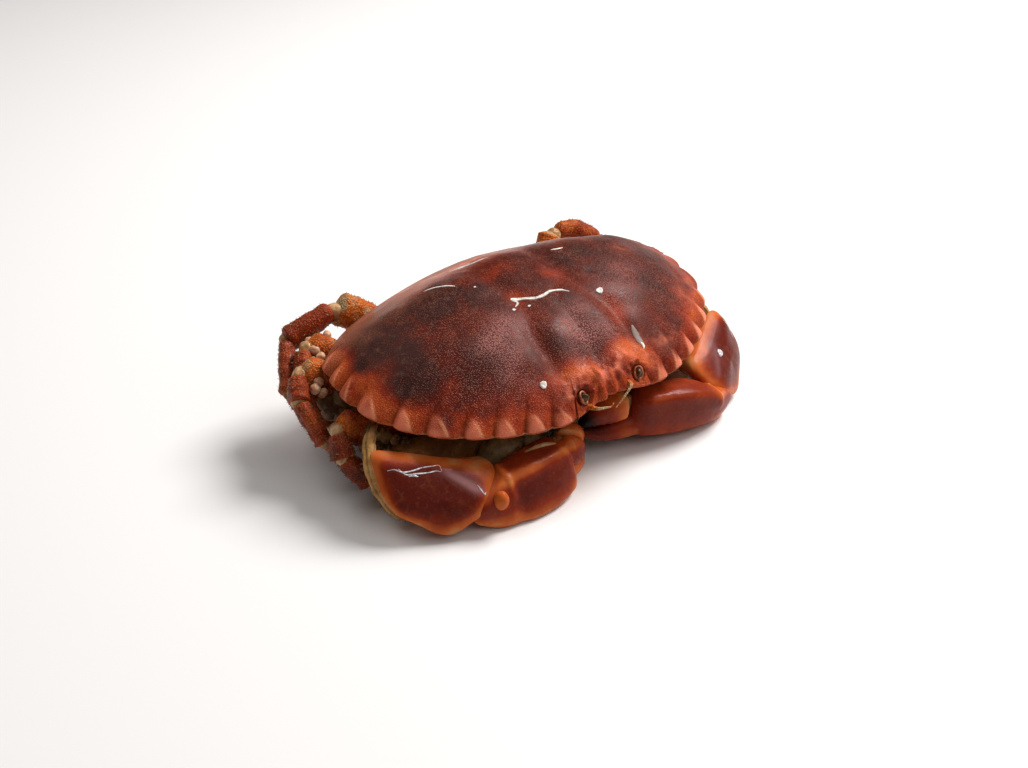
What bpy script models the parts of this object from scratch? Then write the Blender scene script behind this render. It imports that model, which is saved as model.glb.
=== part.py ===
"""A cooked brown crab at rest on its belly, claws folded in front and legs tucked to its sides.

Sizes are in millimetres until a mesh is made. +X is the crab's left, -Y its front and +Z up.
The left half is drawn and the right half is its mirror image, so side is +1 or -1.
"""

import math

import bmesh
import bpy
import numpy as np
from mathutils import Vector

MM = 0.001

# The back shell: a shallow dome with a pie-crust rim, nose down.
SHELL_HALF_WIDTH = 80.0
SHELL_FRONT = 54.9
SHELL_REAR = 46.5
REAR_TAPER = 0.05
REAR_CORNER = (113.0, 10.0, 2.6)
FRONT_FLAT = (12.0, 3.6)
RIM_HEIGHT = 37.0
NOSE_DOWN = math.radians(7.0)
DOME_HEIGHT = 23.6
DOME_POWERS = (2.3, 0.8)
LOBE_EDGES = (12.5, 20.5, 28.4, 37.2, 46.1, 57.6, 68.9, 85.0, 96.5, 106.7, 118.0)
LOBE_DEPTH = 1.5
LOBE_HEIGHT = 0.9
LOBE_START = 0.84
ROSTRUM_HALF = 7.4
ROSTRUM_DEPTH = 1.6
UNDERTURN = (
    (0.995, -1.0),
    (0.975, -2.1),
    (0.93, -3.3),
    (0.85, -5.4),
    (0.74, -9.2),
    (0.66, -11.5),
    (0.3, -11.8),
)
UNDER_DEPTH = 13.0

# Swellings and furrows of the back shell: x, y, spread along x and y, height.
SWELLINGS = (
    (9.0, -32.0, 8.0, 9.0, 1.5),
    (30.0, -24.0, 12.0, 11.0, 1.3),
    (44.0, 2.0, 18.0, 16.0, 1.2),
    (0.0, 20.0, 10.0, 14.0, 0.9),
    (9.0, -46.5, 4.6, 4.0, 2.2),
    (17.5, -33.0, 4.0, 10.0, -1.7),
    (13.5, 4.0, 4.0, 12.0, -1.3),
    (0.0, -40.0, 3.0, 8.0, -1.0),
)
FRONT_RAISE = (14.0, 7.0, 5.0)

EYE_PLACE = (12.8, -50.4, 36.6)
EYE_SOCKET_RADIUS = 3.3
EYE_RADIUS = 2.5

# The body below the shell, lowest on the belly flap.
BODY_LEVELS = (
    (0.0, 46.0, -33.5, 31.0),
    (-3.5, 43.0, -33.0, 31.0),
    (-8.0, 34.0, -31.0, 30.0),
    (-12.5, 29.0, -28.0, 29.0),
    (-17.0, 26.5, -25.0, 27.0),
    (-20.5, 22.0, -22.0, 24.0),
)
BODY_TOP = 24.6
BODY_SQUARENESS = 0.85
BODY_LEVEL_BELOW = 4.0
FLAP_LINE = (
    (-22.0, 1.9, 2.5),
    (-14.0, 1.6, 10.5),
    (-3.0, 1.5, 15.5),
    (9.0, 1.5, 17.5),
    (20.0, 1.8, 17.0),
    (29.0, 4.2, 16.0),
    (34.6, 10.5, 15.0),
    (37.2, 18.0, 14.0),
    (38.0, 24.0, 12.5),
)
FLAP_THICKNESS = 2.4
FLAP_SQUARENESS = 0.6
FLAP_RESTING_PART = 0.5
FLAP_RESTING_LIFT = 1.3

# Leg joints from the body outwards: root, hip, knee, wrist, ankle and toe.
LEG_JOINTS = (
    ((31.5, -10, 10.5), (41, -9, 12.5), (85, 0, 26.5), (86.5, -7, 18.5), (80.5, -12.5, 8), (66, -8, 2.6)),
    ((32.2, 4, 11.5), (42, 5, 13.5), (84, 26, 36.5), (89.2, 17.5, 30), (87, 5.5, 18), (73, 0, 2.6)),
    ((30.5, 17, 12.5), (38, 19, 15), (74.5, 38, 37.5), (79.2, 30.6, 30.5), (75, 22, 12), (60, 15, 2.6)),
    ((24.5, 29.5, 14.5), (31, 34, 18), (56, 45, 44.5), (77, 46.5, 37), (86.5, 30.5, 25.5), (81, 18, 7)),
)
REAR_THIGH_BOW = (0.0, 3.0, 4.0)
LEFT_REAR_SHIFT = (-4.5, 3.0, -0.5)
LEG_PARTS = ("hip", "thigh", "knee", "shin", "tip")
HIP_SIZE = (4.2, 5.0)
THIGH_SIZE = (3.7, 5.8)
KNEE_SIZE = (3.4, 4.4)
SHIN_SIZE = (2.8, 3.9)
TIP_SIZE = (1.9, 2.6)
KNEE_SETBACK = 2.9
KNEE_GAP = 0.8

# Claw arm, wrist block, hand and fingers.
ARM_LINE = ((33, -23, 10.5), (50, -21, 12), (66, -19.5, 13), (83, -21, 13.5))
ARM_SIZES = ((5.5, 7.0), (6.5, 8.5), (7.0, 9.6), (6.4, 9.6))
WRIST_OUTER = ((82, -20, 28), (47, -43, 21.8), (55.2, -53.5, 9.5), (71, -48.5, 0.5), (86, -34, 12))
WRIST_INNER = ((73, -29, 22.5), (46.4, -34, 18), (54.4, -41, 9), (64, -39, 2), (77, -32, 9))
WRIST_ROUND = 5.5
WRIST_PROFILE = (
    (0.0, 0.55, -1.4),
    (0.0, 0.82, -0.8),
    (0.08, 0.96, 0.0),
    (0.4, 1.02, 0.0),
    (0.75, 1.03, 0.0),
    (0.92, 1.0, 0.3),
    (1.0, 0.92, 1.2),
    (1.0, 0.72, 2.8),
    (1.0, 0.4, 3.9),
)
PALM_LINE = {
    1: ((50.6, -52.2, 7.6), (40.5, -49.8, 11.0), (27.5, -46.5, 13.0), (15.0, -44.0, 15.0)),
    -1: ((51.0, -52.4, 7.2), (41, -50.6, 10.8), (29.5, -49.6, 11.2), (16.8, -47.2, 12.0)),
}
PALM_SIZES = ((4.4, 5.4), (8.0, 10.6), (8.3, 11.2), (6.6, 9.6))
LOW_FINGER_LINE = {
    1: ((24, -45.0, 10.0), (13, -43.6, 9.4), (4, -41.6, 9.0), (-4, -38.6, 10.0)),
    -1: ((25, -47.5, 6.5), (15, -45.5, 5.5), (9, -41.5, 5.0), (5.5, -37.5, 6.4)),
}
LOW_FINGER_SIZES = ((4.5, 4.0), (4.6, 3.8), (3.6, 3.2), (1.4, 1.3))
TOP_FINGER_LINE = {
    1: ((13.4, -43.6, 18.8), (8, -42.6, 19.0), (2, -41.2, 17.6), (-5, -38.4, 14.0)),
    -1: ((15.4, -45.6, 15.4), (13.4, -43.6, 15.4), (10.0, -40.0, 14.0), (6.4, -36.6, 11.4)),
}
TOP_FINGER_SIZES = ((4.8, 5.4), (5.2, 5.6), (4.0, 4.2), (1.4, 1.5))
KNUCKLE_PLACE = (50.6, -52.0, 11.5)
KNUCKLE_RADIUS = 3.3

MOUTH_TOP = (5.4, -36.6, 18.5)
MOUTH_LOW = (5.4, -28.2, 4.2)
MOUTH_SIZE = (4.8, 1.4)
FEELER_LINE = {
    1: ((5.5, -54.2, 36.4), (3, -55.4, 35.4), (0, -56.0, 33.6), (-3.2, -56.0, 31.0)),
    -1: ((10.8, -55.2, 33.4), (8.0, -55.8, 33.0), (5.6, -56.0, 32.6), (4.4, -56.2, 33.8)),
}
FEELER_RADII = (0.9, 0.55, 0.4, 0.3)

# Moves the model so that its bounding box is centred on the origin.
CENTRE_SHIFT = (0.0, 3.52)


def shell_outline(angle):
    """Rim point before the lobes, in degrees from the front."""
    turn = math.radians(angle)
    x = SHELL_HALF_WIDTH * math.sin(turn)
    if abs(angle) <= 90.0:
        spread, depth = FRONT_FLAT
        return x, depth * math.exp(-((angle / spread) ** 2)) - SHELL_FRONT * math.cos(turn)
    taper = abs(math.sin(turn)) ** REAR_TAPER
    return x * taper, -SHELL_REAR * math.cos(turn)


def lobe_swell(angle):
    """0 in the notch between two lobes and 1 on a lobe's crown."""
    angle = abs(angle)
    for start, end in zip(LOBE_EDGES, LOBE_EDGES[1:]):
        if start <= angle <= end:
            across = (angle - start) / (end - start)
            return max(0.0, math.sin(math.pi * across)) ** 0.6
    return 0.0


def rostrum_swell(x):
    """Three blunt teeth between the eyes."""
    if abs(x) > ROSTRUM_HALF:
        return 0.0
    return 0.5 + 0.5 * math.cos(3.0 * math.pi * x / ROSTRUM_HALF)


def rim_edge(angle, lobing=1.0):
    """Rim point with the rear corner, the lobes and the teeth; lobing fades the last two."""
    x, y = shell_outline(angle)
    grow = 0.0
    if LOBE_EDGES[0] < abs(angle) < LOBE_EDGES[-1]:
        grow += LOBE_DEPTH * (lobe_swell(angle) - 0.5) * lobing
    if y < 0.0:
        grow += ROSTRUM_DEPTH * rostrum_swell(x) * lobing
    corner, spread, swell = REAR_CORNER
    grow += swell * math.exp(-(((abs(angle) - corner) / spread) ** 2))
    length = math.hypot(x, y)
    return x * (1.0 + grow / length), y * (1.0 + grow / length)


def bump(x, y, centre_x, centre_y, spread_x, spread_y):
    return math.exp(-(((x - centre_x) / spread_x) ** 2) - ((y - centre_y) / spread_y) ** 2)


def relief(x, y):
    """Swellings of the gut and gill regions and the furrows between them, the same on both sides."""
    total = 0.0
    for centre_x, centre_y, spread_x, spread_y, height in SWELLINGS:
        total += height * bump(abs(x), y, centre_x, centre_y, spread_x, spread_y)
    return total


def front_raise(x, y):
    spread_x, spread_y, height = FRONT_RAISE
    return height * bump(x, y, 0.0, -SHELL_FRONT + FRONT_FLAT[1], spread_x, spread_y)


def tilted(x, y, z):
    """A point over the rim plane, which slopes down towards the nose."""
    return (x, y, RIM_HEIGHT + z + y * math.tan(NOSE_DOWN))


def shell_top(angle, share):
    near_rim = max(0.0, (share - LOBE_START) / (1.0 - LOBE_START))
    edge_x, edge_y = rim_edge(angle, near_rim)
    x = edge_x * share
    y = edge_y * share
    first, second = DOME_POWERS
    height = DOME_HEIGHT * (1.0 - share ** first) ** second
    fade = 1.0 - share ** 6
    lobes = LOBE_HEIGHT * near_rim * (2.0 - near_rim) * (lobe_swell(angle) - 0.4)
    return tilted(x, y, height + relief(x, y) * fade + lobes + front_raise(x, y))


def shell_under(angle, share, drop):
    edge_x, edge_y = rim_edge(angle, max(0.0, 1.0 + drop / 5.0))
    x = edge_x * share
    y = edge_y * share
    return tilted(x, y, drop + front_raise(x, y) * (1.0 + drop / UNDER_DEPTH))


def rim_angles():
    """Angles round the rim: the edges of each lobe's crown and every notch between lobes."""
    half = [0.0, 1.75, 3.5, 5.2, 7.5, 10.0]
    for start, end in zip(LOBE_EDGES, LOBE_EDGES[1:]):
        half += [start + (end - start) * step for step in (0.0, 0.28, 0.72)]
    half += [LOBE_EDGES[-1] + step for step in (0.0, 9.0, 18.0, 27.0, 36.0, 45.0, 54.0)]
    return half + [180.0] + [-angle for angle in reversed(half[1:])]


def surface_material(name, colour, roughness):
    material = bpy.data.materials.new(name)
    material.use_nodes = True
    shader = material.node_tree.nodes["Principled BSDF"]
    shader.inputs["Base Color"].default_value = (*colour, 1.0)
    shader.inputs["Roughness"].default_value = roughness
    shader.inputs["Metallic"].default_value = 0.0
    material.diffuse_color = (*colour, 1.0)
    return material


def skin(name, rings, first_pole, last_pole, material):
    """A closed mesh through rings of equal point counts, drawn to a point at both ends."""
    mesh = bpy.data.meshes.new(name)
    builder = bmesh.new()
    rows = [[builder.verts.new(Vector(point) * MM) for point in ring] for ring in rings]
    count = len(rows[0])
    for row, following in zip(rows, rows[1:]):
        for step in range(count):
            after = (step + 1) % count
            builder.faces.new((row[step], row[after], following[after], following[step]))
    for row, pole in ((rows[0], first_pole), (rows[-1], last_pole)):
        tip = builder.verts.new(Vector(pole) * MM)
        for step in range(count):
            builder.faces.new((row[step], row[(step + 1) % count], tip))
    bmesh.ops.recalc_face_normals(builder, faces=builder.faces)
    bmesh.ops.triangulate(builder, faces=builder.faces)
    builder.to_mesh(mesh)
    builder.free()
    mesh.shade_smooth()
    mesh.set_sharp_from_angle(angle=math.radians(50.0))
    mesh.materials.append(material)
    piece = bpy.data.objects.new(name, mesh)
    piece.parent = crab
    bpy.context.collection.objects.link(piece)
    return piece


def spline(points, places):
    """Catmull-Rom values through the points, read at the places from 0 to 1."""
    points = np.asarray(points, float)
    padded = np.vstack([2 * points[0] - points[1], points, 2 * points[-1] - points[-2]])
    values = []
    for place in places:
        along = min(max(place, 0.0), 1.0) * (len(points) - 1)
        cell = min(int(along), len(points) - 2)
        u = along - cell
        a, b, c, d = padded[cell:cell + 4]
        values.append(0.5 * (2 * b + (c - a) * u + (2 * a - 5 * b + 4 * c - d) * u ** 2
                             + (3 * b - a - 3 * c + d) * u ** 3))
    return np.array(values)


def cap_places(spans, cap):
    """Places along a piece, closer at its round ends."""
    ends = [cap * share for share in (0.12, 0.5, 1.0)]
    middle = [cap + (1.0 - 2.0 * cap) * step / spans for step in range(1, spans)]
    return ends + middle + [1.0 - place for place in reversed(ends)]


def round_end(place, cap):
    """How far a section shrinks near either end: a quarter circle."""
    near = min(place, 1.0 - place)
    if near >= cap:
        return 1.0
    return math.sqrt(1.0 - (1.0 - near / cap) ** 2)


def softened(value, power):
    """A sine or cosine raised to a power with its sign kept, which squares off a round section."""
    return math.copysign(abs(value) ** power, value)


def tube(name, line, sizes, thin_way, material, sides=8, spans=4, cap=0.12, power=2.0):
    """A rounded piece along a line. Sizes are half widths, thin and deep; thin_way points across the thin."""
    places = cap_places(spans, cap)
    centres = spline(line, places)
    widths = spline(sizes, places)
    rings = []
    for index, place in enumerate(places):
        before = centres[max(index - 1, 0)]
        after = centres[min(index + 1, len(places) - 1)]
        along = Vector(after - before).normalized()
        thin = Vector(thin_way)
        thin = (thin - along * thin.dot(along)).normalized()
        deep = along.cross(thin)
        scale = round_end(place, cap)
        ring = []
        for step in range(sides):
            turn = 2.0 * math.pi * (step + 0.5) / sides
            across = softened(math.cos(turn), 2.0 / power)
            upward = softened(math.sin(turn), 2.0 / power)
            point = Vector(centres[index])
            point += thin * (across * widths[index][0] * scale) + deep * (upward * widths[index][1] * scale)
            ring.append((point.x, point.y, max(point.z, 0.0)))
        rings.append(ring)
    first, last = spline(line, (0.0, 1.0))
    return skin(name, rings, first, last, material)


def mirrored(point, side):
    return (point[0] * side, point[1], point[2])


def side_name(side):
    return "left" if side > 0 else "right"


def make_shell(material):
    shares = (0.08, 0.2, 0.34, 0.47, 0.58, 0.68, 0.77, 0.84, 0.89, 0.935, 0.97, 1.0)
    angles = rim_angles()
    rings = [[shell_top(angle, share) for angle in angles] for share in shares]
    rings += [[shell_under(angle, share, drop) for angle in angles] for share, drop in UNDERTURN]
    shell = skin("carapace", rings, shell_top(0.0, 0.0), tilted(0.0, 0.0, UNDERTURN[-1][1]), material)
    for side in (1, -1):
        cut_socket(shell, mirrored(EYE_PLACE, side), side)


def cut_socket(shell, place, side):
    """A round hollow in the front of the shell that holds an eye."""
    bpy.ops.mesh.primitive_uv_sphere_add(segments=14, ring_count=8, radius=EYE_SOCKET_RADIUS * MM)
    cutter = bpy.context.object
    cutter.name = "socket_cutter_" + side_name(side)
    cutter.parent = crab
    cutter.location = Vector(place) * MM
    cutter.hide_render = True
    cutter.display_type = "WIRE"
    cut = shell.modifiers.new("eye_socket_" + side_name(side), "BOOLEAN")
    cut.operation = "DIFFERENCE"
    cut.object = cutter


def make_eye(side, material):
    """A short stalk that ends in a round dark cornea, standing free in its socket."""
    x, y, z = mirrored(EYE_PLACE, side)
    line = ((x + 1.5 * side, y + 1.4, z - 0.9), (x, y, z), (x - 0.8 * side, y - 1.1, z + 0.9))
    sizes = ((1.5, 1.5), (EYE_RADIUS * 0.8, EYE_RADIUS * 0.8), (1.4, 1.4))
    tube("eye_" + side_name(side), line, sizes, (0, 0, 1), material, spans=3, cap=0.3)


def make_feeler(side, material):
    line = [mirrored(point, side) for point in FEELER_LINE[side]]
    sizes = [(radius, radius) for radius in FEELER_RADII]
    tube("antenna_" + side_name(side), line, sizes, (0, 0, 1), material, sides=6, spans=5, cap=0.03)


def make_body(material):
    """The trunk under the shell: its walls slope in to the leg sockets and a flat breast."""
    sides = 36
    rings = []
    for level, half_width, front, rear in BODY_LEVELS:
        ring = []
        for step in range(sides):
            turn = 2.0 * math.pi * step / sides
            x = half_width * softened(math.sin(turn), BODY_SQUARENESS)
            y = (front + rear) / 2.0 - (rear - front) / 2.0 * softened(math.cos(turn), BODY_SQUARENESS)
            height = BODY_TOP + level
            slope = max(0.0, (height - BODY_LEVEL_BELOW) / (BODY_TOP - BODY_LEVEL_BELOW))
            ring.append((x, y, height + y * math.tan(NOSE_DOWN) * slope))
        rings.append(ring)
    top = (0.0, 0.0, BODY_TOP)
    skin("thorax", rings, top, (0.0, 0.0, BODY_TOP + BODY_LEVELS[-1][0]), material)


def make_flap(material):
    """The broad tail flap, folded forward flat under the body and up behind it."""
    sides = 14
    places = [step / 16.0 for step in range(17)]
    stations = spline(FLAP_LINE, places)
    rings = []
    for index, (y, z, half_width) in enumerate(stations):
        before = stations[max(index - 1, 0)]
        after = stations[min(index + 1, len(stations) - 1)]
        along = Vector((0.0, after[0] - before[0], after[1] - before[1])).normalized()
        outward = Vector((0.0, along.z, -along.y))
        ring = []
        for step in range(sides):
            turn = 2.0 * math.pi * step / sides
            across = half_width * softened(math.cos(turn), FLAP_SQUARENESS)
            lift = FLAP_THICKNESS / 2.0 * math.sin(turn)
            if places[index] < FLAP_RESTING_PART:
                lift *= FLAP_RESTING_LIFT
            point = Vector((across, y, z)) + outward * lift
            ring.append((point.x, point.y, max(point.z, 0.0)))
        rings.append(ring)
    first = (0.0, stations[0][0] - 0.8, stations[0][1])
    last = (0.0, stations[-1][0], stations[-1][1] + 0.6)
    skin("abdomen_flap", rings, first, last, material)


def make_mouth_plate(side, material):
    line = [mirrored(MOUTH_TOP, side), mirrored(MOUTH_LOW, side)]
    sizes = (MOUTH_SIZE, MOUTH_SIZE)
    tube("mouth_plate_" + side_name(side), line, sizes, (1, 0, 0), material, sides=10, spans=3, power=2.6)


def limb_thin_way(joint, other, part):
    """Thighs are flat front to back; the parts folded against the body are flat against it."""
    if part in ("hip", "thigh"):
        return (0.0, 1.0, 0.0)
    x = (joint[0] + other[0]) / 2.0
    y = (joint[1] + other[1]) / 2.0
    return tuple(Vector((x / SHELL_HALF_WIDTH ** 2, y / SHELL_REAR ** 2, 0.0)).normalized())


def trimmed(start, end, cut_start, cut_end):
    """The stretch between two joints, shortened at each end by a length."""
    start = Vector(start)
    end = Vector(end)
    along = (end - start).normalized()
    return start + along * cut_start, end - along * cut_end


def make_leg(number, joints, side, materials):
    """Hip, thigh, knee, shin and pointed tip, each a piece of its own with a small gap at every joint."""
    if number == len(LEG_JOINTS) and side > 0:
        joints = [Vector(point) for point in joints]
        joints[2] += Vector(LEFT_REAR_SHIFT)
        joints[3] += Vector(LEFT_REAR_SHIFT) / 2.0
    sizes = {"hip": HIP_SIZE, "thigh": THIGH_SIZE, "knee": KNEE_SIZE, "shin": SHIN_SIZE, "tip": TIP_SIZE}
    thigh_way = (Vector(joints[2]) - Vector(joints[1])).normalized()
    knee_way = (Vector(joints[3]) - Vector(joints[2])).normalized()
    knee_cut = KNEE_GAP + KNEE_SETBACK * (1.0 - thigh_way.dot(knee_way))
    cuts = {
        "hip": (0.0, 0.5),
        "thigh": (0.4, 1.2),
        "knee": (knee_cut, 0.3),
        "shin": (0.4, 0.4),
        "tip": (1.2, 0.0),
    }
    for part, start, end in zip(LEG_PARTS, joints, joints[1:]):
        low, high = trimmed(start, end, *cuts[part])
        middle = (low + high) / 2.0
        thin_way = mirrored(limb_thin_way(start, end, part), side)
        thin, deep = sizes[part]
        profile = ((thin * 0.85, deep * 0.8), (thin, deep), (thin * 1.05, deep * 0.92))
        if part == "tip":
            profile = ((thin, deep), (thin * 0.75, deep * 0.75), (0.5, 0.5))
        if part == "thigh" and number == len(LEG_JOINTS):
            middle += Vector(REAR_THIGH_BOW)
        line = [mirrored(point, side) for point in (low, middle, high)]
        name = "leg{}_{}_{}".format(number, part, side_name(side))
        material = materials["leg_joint"] if part == "hip" else materials["leg"]
        tube(name, line, profile, thin_way, material, sides=8, spans=3, cap=0.14, power=2.3)


def rounded_polygon(corners, radius, steps):
    """Points round a closed polygon whose corners are cut back and rounded."""
    points = []
    count = len(corners)
    for index in range(count):
        corner = Vector(corners[index])
        before = Vector(corners[index - 1])
        after = Vector(corners[(index + 1) % count])
        start = corner + (before - corner).normalized() * radius
        end = corner + (after - corner).normalized() * radius
        for step in range(steps):
            u = step / (steps - 1)
            points.append(start * (1 - u) ** 2 + corner * 2 * u * (1 - u) + end * u ** 2)
        after_start = after + (corner - after).normalized() * radius
        points.append((end + after_start) / 2.0)
    return points


def make_wrist(side, material):
    """The five-sided block between arm and hand, its outer face crowned."""
    outer = rounded_polygon([mirrored(point, side) for point in WRIST_OUTER], WRIST_ROUND, 4)
    inner = rounded_polygon([mirrored(point, side) for point in WRIST_INNER], WRIST_ROUND * 0.7, 4)
    outer_middle = sum(outer, Vector()) / len(outer)
    inner_middle = sum(inner, Vector()) / len(inner)
    forward = (outer_middle - inner_middle).normalized()
    rings = []
    for share, scale, lift in WRIST_PROFILE:
        middle = inner_middle.lerp(outer_middle, share)
        ring = []
        for near, far in zip(inner, outer):
            point = middle + (near.lerp(far, share) - middle) * scale + forward * lift
            ring.append((point.x, point.y, max(point.z, 0.0)))
        rings.append(ring)
    first = inner_middle - forward * 1.6
    last = outer_middle + forward * 4.3
    skin("wrist_" + side_name(side), rings, first, last, material)


def joined(piece, other):
    """Grows a piece by another shape, which is no piece of its own."""
    other.hide_render = True
    other.display_type = "WIRE"
    join = piece.modifiers.new(other.name, "BOOLEAN")
    join.operation = "UNION"
    join.object = other


def make_hand(side, material):
    """The palm with its fixed lower finger, and the round knuckle by the wrist."""
    palm_line = [mirrored(point, side) for point in PALM_LINE[side]]
    palm = tube("palm_" + side_name(side), palm_line, PALM_SIZES, (0, 1, 0), material,
                sides=18, spans=8, cap=0.14, power=2.5)
    finger_line = [mirrored(point, side) for point in LOW_FINGER_LINE[side]]
    finger = tube("low_finger_" + side_name(side), finger_line, LOW_FINGER_SIZES, (0, 1, 0), material,
                  sides=12, spans=6, cap=0.08)
    joined(palm, finger)
    bpy.ops.mesh.primitive_uv_sphere_add(segments=12, ring_count=8, radius=KNUCKLE_RADIUS * MM)
    knuckle = bpy.context.object
    knuckle.name = "knuckle_" + side_name(side)
    knuckle.parent = crab
    knuckle.location = Vector(mirrored(KNUCKLE_PLACE, side)) * MM
    joined(palm, knuckle)


def make_claw(side, materials):
    arm_line = [mirrored(point, side) for point in ARM_LINE]
    tube("arm_" + side_name(side), arm_line, ARM_SIZES, (0, 1, 0), materials["leg_joint"],
         sides=12, spans=6, power=2.4)
    make_wrist(side, materials["claw"])
    make_hand(side, materials["claw"])
    finger_line = [mirrored(point, side) for point in TOP_FINGER_LINE[side]]
    tube("finger_" + side_name(side), finger_line, TOP_FINGER_SIZES, (0, 1, 0), materials["claw"],
         sides=12, spans=6, cap=0.1, power=2.3)


for old in list(bpy.data.objects):
    bpy.data.objects.remove(old, do_unlink=True)

crab = bpy.data.objects.new("crab", None)
bpy.context.collection.objects.link(crab)
crab.location = (CENTRE_SHIFT[0] * MM, CENTRE_SHIFT[1] * MM, 0.0)

finishes = {
    "shell": surface_material("shell", (0.16, 0.035, 0.022), 0.35),
    "claw": surface_material("claw", (0.22, 0.05, 0.025), 0.35),
    "leg": surface_material("leg", (0.38, 0.07, 0.02), 0.55),
    "leg_joint": surface_material("leg_joint", (0.55, 0.36, 0.18), 0.6),
    "belly": surface_material("belly", (0.66, 0.5, 0.3), 0.5),
    "eye": surface_material("eye", (0.03, 0.03, 0.018), 0.2),
}

make_shell(finishes["shell"])
make_body(finishes["belly"])
make_flap(finishes["belly"])
for hand_side in (1, -1):
    make_eye(hand_side, finishes["eye"])
    make_feeler(hand_side, finishes["leg"])
    make_mouth_plate(hand_side, finishes["belly"])
    make_claw(hand_side, finishes)
    for leg_number, leg_joints in enumerate(LEG_JOINTS, start=1):
        make_leg(leg_number, leg_joints, hand_side, finishes)
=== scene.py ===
"""A boiled brown crab lying on its belly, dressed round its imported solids.

Sizes are in millimetres until a mesh is made. +X is the crab's left, -Y its front and +Z up. The left half
is drawn and the right half is its mirror image, so side is +1 or -1.
"""

import math

import bmesh
import bpy
import numpy as np
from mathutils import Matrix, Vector
from mathutils.bvhtree import BVHTree


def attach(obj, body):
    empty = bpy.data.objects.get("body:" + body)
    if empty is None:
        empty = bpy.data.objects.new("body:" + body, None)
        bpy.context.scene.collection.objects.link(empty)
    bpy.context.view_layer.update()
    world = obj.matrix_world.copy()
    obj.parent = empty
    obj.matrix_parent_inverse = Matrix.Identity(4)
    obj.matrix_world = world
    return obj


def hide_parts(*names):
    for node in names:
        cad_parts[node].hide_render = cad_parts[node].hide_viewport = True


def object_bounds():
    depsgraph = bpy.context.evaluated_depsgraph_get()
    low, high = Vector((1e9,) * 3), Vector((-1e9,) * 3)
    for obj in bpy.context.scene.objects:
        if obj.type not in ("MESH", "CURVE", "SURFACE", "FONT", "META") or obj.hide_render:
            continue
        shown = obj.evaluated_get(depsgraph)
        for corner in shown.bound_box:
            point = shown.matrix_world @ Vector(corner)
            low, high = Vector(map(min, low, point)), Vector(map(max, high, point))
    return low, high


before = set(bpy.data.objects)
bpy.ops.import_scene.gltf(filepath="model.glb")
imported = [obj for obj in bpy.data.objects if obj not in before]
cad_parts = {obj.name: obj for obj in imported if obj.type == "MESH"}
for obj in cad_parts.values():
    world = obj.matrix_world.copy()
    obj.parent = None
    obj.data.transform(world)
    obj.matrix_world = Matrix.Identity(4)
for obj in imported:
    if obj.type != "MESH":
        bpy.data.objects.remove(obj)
solid_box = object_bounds()

# The picture: a white table under one large soft light from the crab's left, with a bright room around it.
# The camera stands in front of the crab and to its right, and looks down on it.
camera_data = bpy.data.cameras.new("camera")
camera_data.lens = 42.02
camera_data.sensor_width = 36.0
camera = bpy.data.objects.new("camera", camera_data)
bpy.context.scene.collection.objects.link(camera)
camera.location = (-0.24512, -0.30428, 0.27522)
camera.rotation_euler = Vector((0.50986, 0.65407, -0.55877)).to_track_quat("-Z", "Y").to_euler()
bpy.context.scene.camera = camera
bpy.context.scene.view_settings.view_transform = "Standard"


def add_light(name, place, aim, size, power, colour):
    light = bpy.data.lights.new(name, "AREA")
    light.shape = "DISK"
    light.size = size
    light.energy = power
    light.color = colour
    lamp = bpy.data.objects.new(name, light)
    bpy.context.scene.collection.objects.link(lamp)
    lamp.location = place
    lamp.rotation_euler = (Vector(aim) - Vector(place)).to_track_quat("-Z", "Y").to_euler()


add_light("softbox", (0.68, -0.02, 0.86), (0.0, 0.0, 0.02), 0.55, 16.5, (1.0, 0.985, 0.97))
add_light("window", (-0.30, 0.55, 0.95), (0.0, 0.0, 0.02), 0.6, 2.6, (1.0, 0.985, 0.97))
add_light("white_wall", (0.30, -0.70, 0.90), (0.0, 0.0, 0.02), 1.0, 3.0, (1.0, 0.99, 0.98))

room = bpy.data.worlds.new("room")
room.use_nodes = True
room_light = room.node_tree.nodes["Background"].inputs
room_light["Color"].default_value = (1.0, 1.0, 1.0, 1.0)
room_light["Strength"].default_value = 0.10
bpy.context.scene.world = room

table_mesh = bpy.data.meshes.new("table_top")
table_mesh.from_pydata([(-3, -3, 0), (3, -3, 0), (3, 3, 0), (-3, 3, 0)], [], [(0, 1, 2, 3)])
table = bpy.data.objects.new("table_top", table_mesh)
bpy.context.scene.collection.objects.link(table)
table_white = bpy.data.materials.new("table_white")
table_white.use_nodes = True
table_look = table_white.node_tree.nodes["Principled BSDF"].inputs
table_look["Base Color"].default_value = (0.84, 0.825, 0.815, 1.0)
table_look["Roughness"].default_value = 0.7
table.data.materials.append(table_white)


# The back shell: one thick plate of boiled shell, a shallow dome with a pie-crust rim, three blunt teeth
# between the eyes and a socket for each eye. Dark maroon, finely stippled with orange, and orange at the rim.
CENTRE_SHIFT = (0.0, 3.52, 0.0)
SHELL_HALF_WIDTH = 80.0
SHELL_FRONT = 54.9
SHELL_REAR = 46.5
REAR_TAPER = 0.05
RIM_HEIGHT = 37.0
NOSE_DOWN = math.radians(7.0)
DOME_HEIGHT = 23.6
DOME_POWERS = (2.3, 0.8)
REAR_SLOPE = 3.8

# Corners of the rim, the first on both sides: degrees from the front, spread in degrees, and how far out.
REAR_CORNER = (113.0, 10.0, 2.6)
RIGHT_CORNER = (129.0, 15.0, 3.2)

# The front is flattened over a spread in degrees by a depth, and raised over a spread along x and y.
FRONT_FLAT = (12.0, 3.6)
FRONT_RAISE = (14.0, 7.0, 5.0)
ROSTRUM_HALF = 7.4
ROSTRUM_DEPTH = 1.6

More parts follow.
